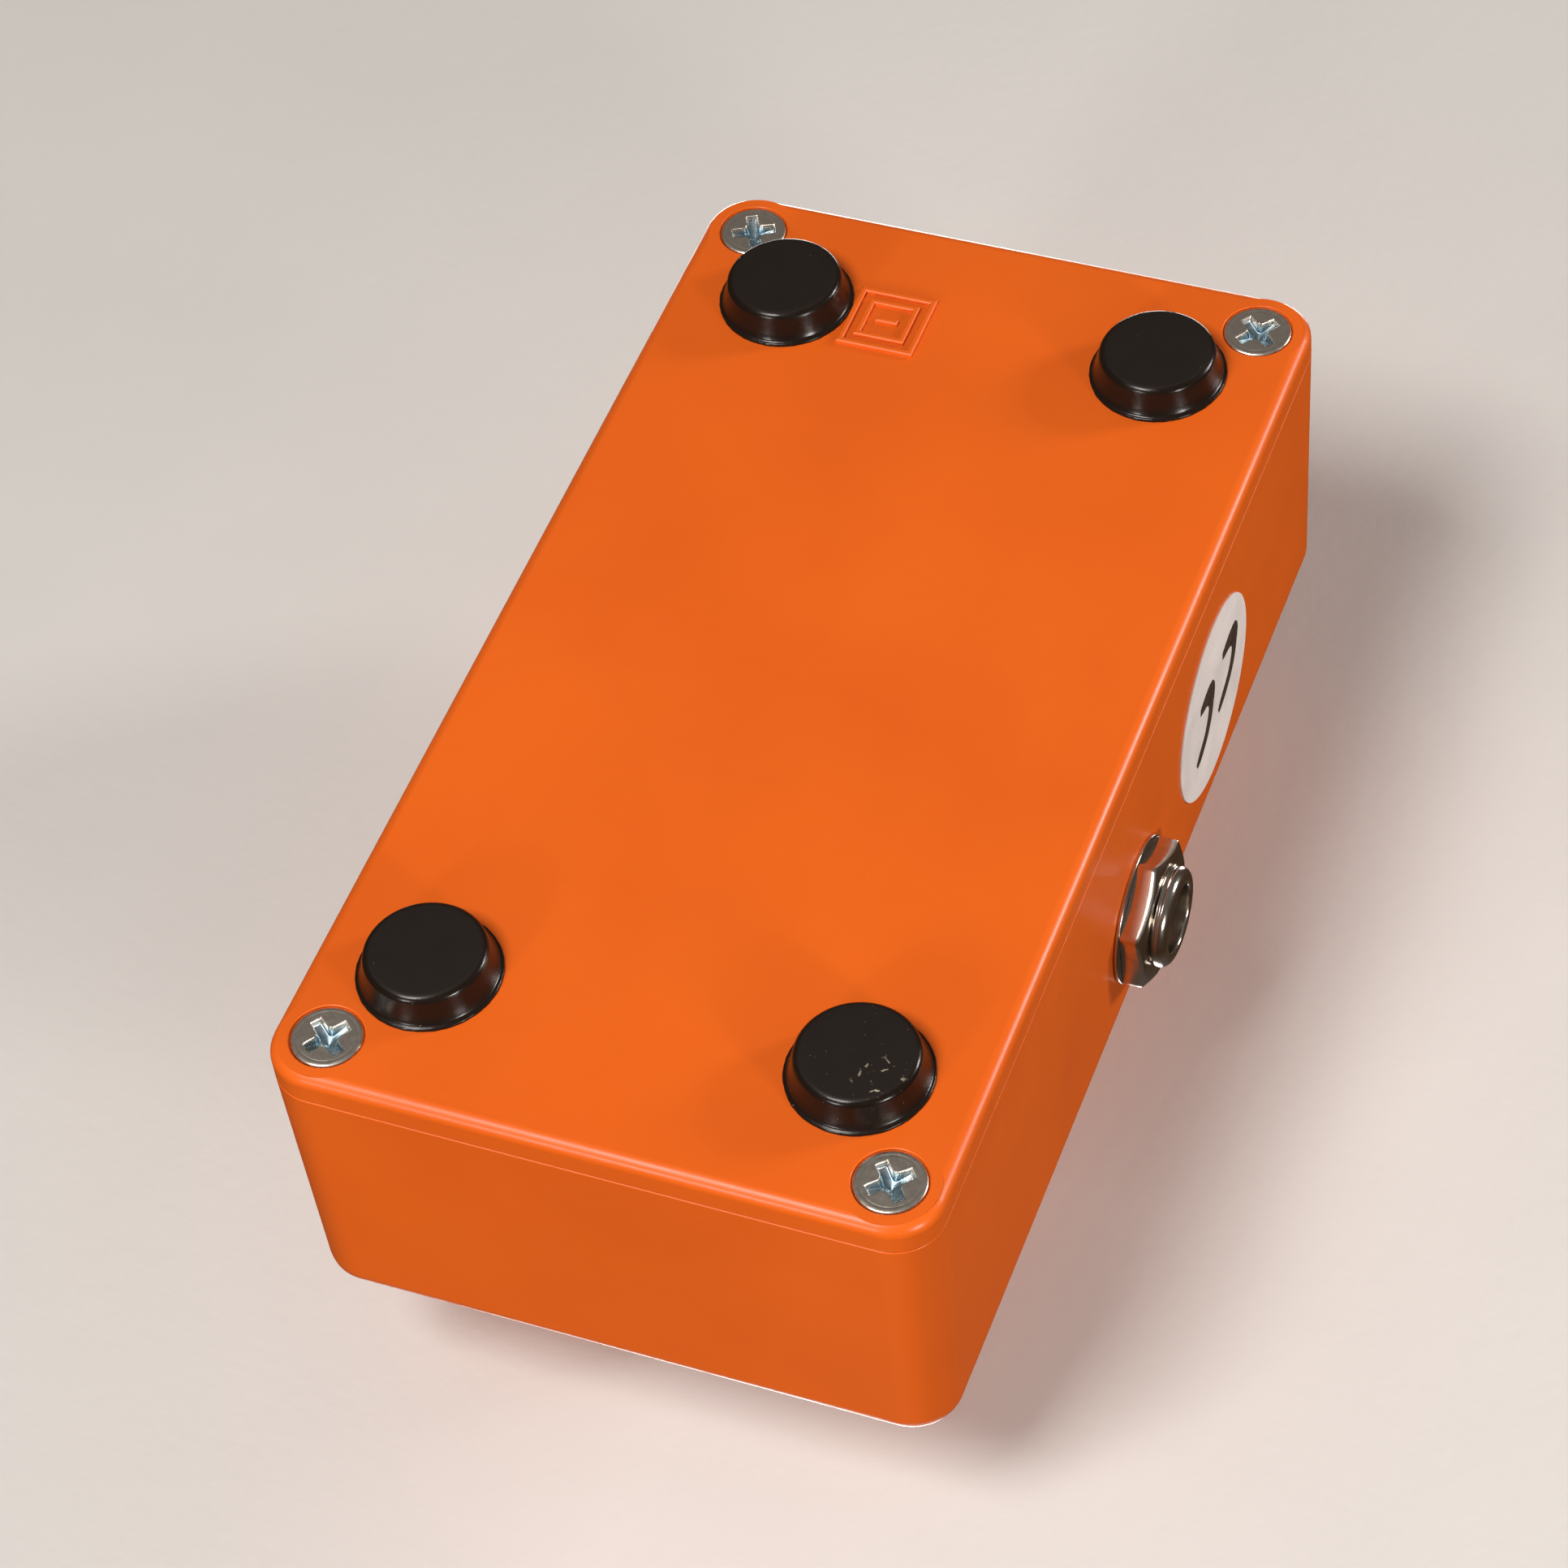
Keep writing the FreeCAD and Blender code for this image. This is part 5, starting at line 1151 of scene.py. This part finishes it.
@dataclass
class Footswitch:
    """The stomp switch: threaded barrel, nuts, washers and domed plunger."""

    dresser: Dresser
    thread: float = 5.95 * MM
    stem: float = 3.95 * MM
    nut_flats: float = 14.0 * MM

    def barrel(self) -> bpy.types.Object:
        """The threaded barrel, with its end rounded over."""
        place, tall, _ = seat("switch_bushing")
        profile = [(self.stem, 0.0), (self.thread, 0.0), (self.thread, tall - 0.6 * MM)]
        profile += arc((self.thread - 0.6 * MM, tall - 0.6 * MM), 0.6 * MM, 6, 84, 6)
        profile += arc((self.stem + 0.25 * MM, tall - 0.25 * MM), 0.25 * MM, 90, 180, 4)
        thread = Thread(self.thread, 1.4 * MM, tall - 0.5 * MM, 0.75 * MM, 0.32 * MM)
        return revolve("switch_threaded_barrel", dense(profile, 0.09 * MM), place, 144,
                       thread.shape, sharp=60.0)

    def plate(self) -> bpy.types.Object:
        """The square plate that the barrel stands on, inside the box."""
        low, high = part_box("switch_bushing")
        thick = 1.0 * MM
        half = (high.x - low.x) / 2
        work = bmesh.new()
        bmesh.ops.create_cube(work, size=1.0)
        bmesh.ops.scale(work, vec=(2 * half, 2 * half, thick), verts=work.verts)
        bmesh.ops.bevel(work, geom=work.edges[:], offset=0.2 * MM, segments=3, affect="EDGES", profile=0.5)
        centre = middle("switch_bushing")
        place = Matrix.Translation((centre.x, centre.y, low.z + thick / 2))
        return finish_mesh("switch_mounting_plate", work, place, 40.0)

    def plunger(self) -> bpy.types.Object:
        """The plunger: stop collar, stem and a domed cap."""
        place, tall, _ = seat("switch_plunger")
        cap = 5.10 * MM
        stem = 3.90 * MM
        cap_low = tall - 6.4 * MM
        soft = 1.5 * MM
        profile = [(0.0, 0.0), (4.5 * MM, 0.0), (4.5 * MM, 1.4 * MM), (stem, 1.4 * MM)]
        profile += [(stem, cap_low - 0.2 * MM), (stem + 0.2 * MM, cap_low)]
        profile += arc((cap - 0.35 * MM, cap_low + 0.35 * MM), 0.35 * MM, -90, 0, 5)
        side = tall - soft - 0.45 * MM
        profile += [(cap, side)]
        profile += arc((cap - soft, side), soft, 8, 74, 9)
        crown = profile[-1]
        for step in range(1, 9):
            share = step / 8
            profile.append((crown[0] * (1 - share), tall - (tall - crown[1]) * (1 - share) ** 2))
        return revolve("footswitch_plunger", profile, place, 128, ring=False, sharp=60.0)

    def build(self) -> None:
        """Make the switch's outside pieces and dress its inside."""
        self.dresser.add(self.barrel(), Finish.SWITCH_NICKEL, PEDAL, "switch_bushing")
        self.dresser.add(self.plate(), Finish.SWITCH_NICKEL, PEDAL, "switch_bushing")
        self.dresser.add(self.plunger(), Finish.SWITCH_NICKEL, PLUNGER_BODY, "switch_plunger")
        for node, turned in (("switch_lower_nut", 0.0), ("switch_upper_nut", 12.0)):
            place, tall, _ = seat(node)
            nut = hex_nut(f"{node}_turned", place, self.nut_flats, tall,
                          self.thread - 0.25 * MM, turned)
            self.dresser.add(nut, Finish.SWITCH_NICKEL, PEDAL, node)
        place, tall, wide = seat("switch_trim_washer")
        disc = washer("switch_nylon_washer", place, wide, self.thread + 0.2 * MM, tall)
        self.dresser.add(disc, Finish.NYLON, PEDAL, "switch_trim_washer")
        self.dresser.dress_nodes(Finish.SWITCH_CASE, "switch_case")
        self.dresser.dress_nodes(Finish.STEEL, "switch_lock_washer", "switch_clips", "switch_spring")
        self.dresser.dress_nodes(Finish.BRASS, "switch_lugs")


@dataclass
class StatusLamp:
    """The lamp in its bezel."""

    dresser: Dresser

    def build(self) -> None:
        """Turn the lens and bezel, and dress the leads."""
        place, tall, wide = seat("lamp_lens")
        dome = 2.5 * MM
        profile = [(0.0, 0.0), (wide, 0.0), (wide, 0.85 * MM), (dome, 0.9 * MM), (dome, tall - dome)]
        profile += arc((0.0, tall - dome), dome, 4, 90, 16)
        lens = revolve("lamp_dome", profile, place, 72, ring=False)
        self.dresser.add(lens, Finish.LENS, PEDAL, "lamp_lens")
        place, tall, wide = seat("lamp_bezel")
        rim = tall - 0.9 * MM
        bore = 2.55 * MM
        barrel = 3.1 * MM
        profile = [(bore, 0.0), (barrel, 0.0), (barrel, rim), (wide, rim)]
        profile += arc((wide - 0.3 * MM, rim + 0.3 * MM), 0.3 * MM, 0, 60, 5)
        profile += arc((barrel, tall - 0.25 * MM), 0.25 * MM, 60, 130, 5)
        profile += [(bore, tall - 0.35 * MM)]
        ring = revolve("lamp_bezel_ring", profile, place, 96)
        self.dresser.add(ring, Finish.BEZEL, PEDAL, "lamp_bezel")
        self.dresser.dress_nodes(Finish.STEEL, "lamp_leads")


@dataclass
class Electronics:
    """The circuit board and battery, closed in the box."""

    dresser: Dresser

    def build(self) -> None:
        """Dress what the box hides."""
        for finish, nodes in (
            (Finish.BOARD, ("circuit_board",)),
            (Finish.FOAM, ("board_pad", "battery_foam")),
            (Finish.CHIP, ("chips", "transistors")),
            (Finish.CAN, ("electrolytic_capacitors",)),
            (Finish.FILM, ("film_capacitors",)),
            (Finish.RESISTOR, ("resistors",)),
            (Finish.TRIMMER, ("trimmer_body",)),
            (Finish.NYLON, ("trimmer_rotor",)),
            (Finish.CELL, ("battery_case",)),
            (Finish.NICKEL, ("battery_terminals",)),
            (Finish.BLACK, ("battery_snap",)),
        ):
            self.dresser.dress_nodes(finish, *nodes)
        LOG.info("board and battery dressed")


# ---------------------------------------------------------------- studio


@dataclass(frozen=True)
class SoftBox:
    """A square studio lamp aimed at the pedal."""

    name: str
    place: tuple[float, float, float]
    side: float
    watts: float
    tint: Colour = (1.0, 0.97, 0.94)

    def build(self, aim: Vector) -> None:
        """Hang the lamp and turn it to the pedal."""
        light = bpy.data.lights.new(self.name, "AREA")
        light.shape = "SQUARE"
        light.size = self.side
        light.energy = self.watts
        light.color = self.tint
        lamp = bpy.data.objects.new(self.name, light)
        lamp.location = self.place
        lamp.rotation_euler = (aim - lamp.location).to_track_quat("-Z", "Y").to_euler()
        bpy.context.scene.collection.objects.link(lamp)


@dataclass
class Studio:
    """Camera, lights, a pale surround, and a pale floor on each side of the pedal.

    The pedal is seen from below, as when it lies face down, and from above, as when it
    stands. Each floor shows only from its own side.
    """

    place: Vector = field(default_factory=lambda: Vector((123.99, 259.24, -319.42)) * MM)
    along: Vector = field(default_factory=lambda: Vector((-0.28794, -0.57997, 0.76205)))
    upward: Vector = field(default_factory=lambda: Vector((-0.21791, -0.73520, -0.64187)))
    lens: float = 111.53
    floor_side: float = 6.0
    pale: Colour = (0.64, 0.62, 0.595)
    boxes: tuple[SoftBox, ...] = (
        SoftBox("under_key", (-0.18, 0.46, -0.79), 0.30, 7.7),
        SoftBox("under_left", (-0.16, 0.64, -0.17), 0.12, 1.4),
        SoftBox("under_right", (0.57, 0.36, -0.13), 0.12, 2.2),
        SoftBox("under_edge", (0.60, -0.46, -0.22), 0.16, 3.2),
        SoftBox("over_key", (-0.43, -0.86, 0.44), 0.40, 7.5),
        SoftBox("over_fill", (-0.10, -0.10, 1.02), 0.40, 4.6),
        SoftBox("over_rim", (-0.05, -0.95, 0.35), 0.30, 2.5),
    )

    def camera(self) -> None:
        """Set up the main camera."""
        data = bpy.data.cameras.new("main_camera")
        data.lens = self.lens
        data.sensor_width = 36.0
        data.clip_start = 0.01
        data.clip_end = 50.0
        lens = bpy.data.objects.new("main_camera", data)
        right = self.along.cross(self.upward).normalized()
        upward = right.cross(self.along).normalized()
        turn = Matrix((right, upward, -self.along.normalized())).transposed().to_4x4()
        lens.matrix_world = Matrix.Translation(self.place) @ turn
        bpy.context.scene.collection.objects.link(lens)
        bpy.context.scene.camera = lens

    def surround(self) -> None:
        """Surround the pedal with dim warm light, a little brighter from below."""
        world = bpy.data.worlds.new("studio_surround")
        world.use_nodes = True
        tree = world.node_tree
        shade = tree.nodes["Background"]
        place = tree.nodes.new("ShaderNodeTexCoord")
        split = tree.nodes.new("ShaderNodeSeparateXYZ")
        height = tree.nodes.new("ShaderNodeMapRange")
        height.inputs["From Min"].default_value = -1.0
        ramp = tree.nodes.new("ShaderNodeValToRGB")
        stops = ramp.color_ramp.elements
        stops[0].color = (0.17, 0.165, 0.16, 1.0)
        stops[1].color = (0.13, 0.12, 0.11, 1.0)
        for position, colour in ((0.45, (0.070, 0.055, 0.043, 1.0)), (0.88, (0.060, 0.033, 0.016, 1.0))):
            stops.new(position).color = colour
        tree.links.new(place.outputs["Generated"], split.inputs[0])
        tree.links.new(split.outputs["Z"], height.inputs["Value"])
        tree.links.new(height.outputs[0], ramp.inputs["Fac"])
        tree.links.new(ramp.outputs["Color"], shade.inputs["Color"])
        bpy.context.scene.world = world

    def floor_finish(self) -> bpy.types.Material:
        """A pale matte floor that is clear from behind."""
        mix = Recipe("pale_floor")
        fleck = mix.spread(mix.noise(24.0, 6.0, 0.6), 0.3, 0.7)
        shade = tuple(channel * 0.96 for channel in self.pale)
        mix.set(Base_Color=mix.blend(fleck, shade, self.pale), Roughness=0.85)
        mix.bump((mix.noise(700.0, 3.0), 0.04 * MM))
        clear = mix.add("ShaderNodeBsdfTransparent")
        side = mix.add("ShaderNodeNewGeometry")
        either = mix.add("ShaderNodeMixShader")
        mix.feed(either.inputs[0], side.outputs["Backfacing"])
        mix.feed(either.inputs[1], mix.shader.outputs[0])
        mix.feed(either.inputs[2], clear.outputs[0])
        mix.feed(mix.tree.nodes["Material Output"].inputs["Surface"], either.outputs[0])
        return mix.material

    def floors(self) -> None:
        """Lay one floor under the feet and one against the knob and footswitch."""
        finish = self.floor_finish()
        low, high = CAD_BOX
        half = self.floor_side / 2
        for name, height, facing in (("standing_floor", low.z, 1), ("face_down_floor", high.z, -1)):
            corners = [(-half, -half), (half, -half), (half, half), (-half, half)][::facing]
            mesh = bpy.data.meshes.new(name)
            mesh.from_pydata([(x, y, height - facing * 0.02 * MM) for x, y in corners], [], [(0, 1, 2, 3)])
            mesh.materials.append(finish)
            floor = bpy.data.objects.new(name, mesh)
            bpy.context.scene.collection.objects.link(floor)
            floor.visible_shadow = False
            floor.visible_diffuse = False
            floor.visible_glossy = False
            floor.visible_transmission = False

    def build(self) -> None:
        """Set up everything round the pedal."""
        self.camera()
        self.surround()
        self.floors()
        low, high = CAD_BOX
        aim = (low + high) / 2
        for box in self.boxes:
            box.build(aim)
        bpy.context.scene.view_settings.view_transform = "Standard"
        LOG.info("studio ready")


def main() -> None:
    """Build every sub-assembly in order, then the studio."""
    logging.basicConfig(level=logging.INFO, format="%(name)s: %(message)s")
    dresser = Dresser()
    assemblies = (
        Casting(dresser),
        BaseScrews(dresser),
        Feet(dresser),
        SideLabel(dresser),
        Jack(dresser, "input_jack", 1),
        Jack(dresser, "output_jack", -1),
        PowerSocket(dresser),
        RateControl(dresser),
        Knob(dresser),
        Footswitch(dresser),
        StatusLamp(dresser),
        Electronics(dresser),
        Studio(),
    )
    for assembly in assemblies:
        assembly.build()


if __name__ == "__main__":
    main()
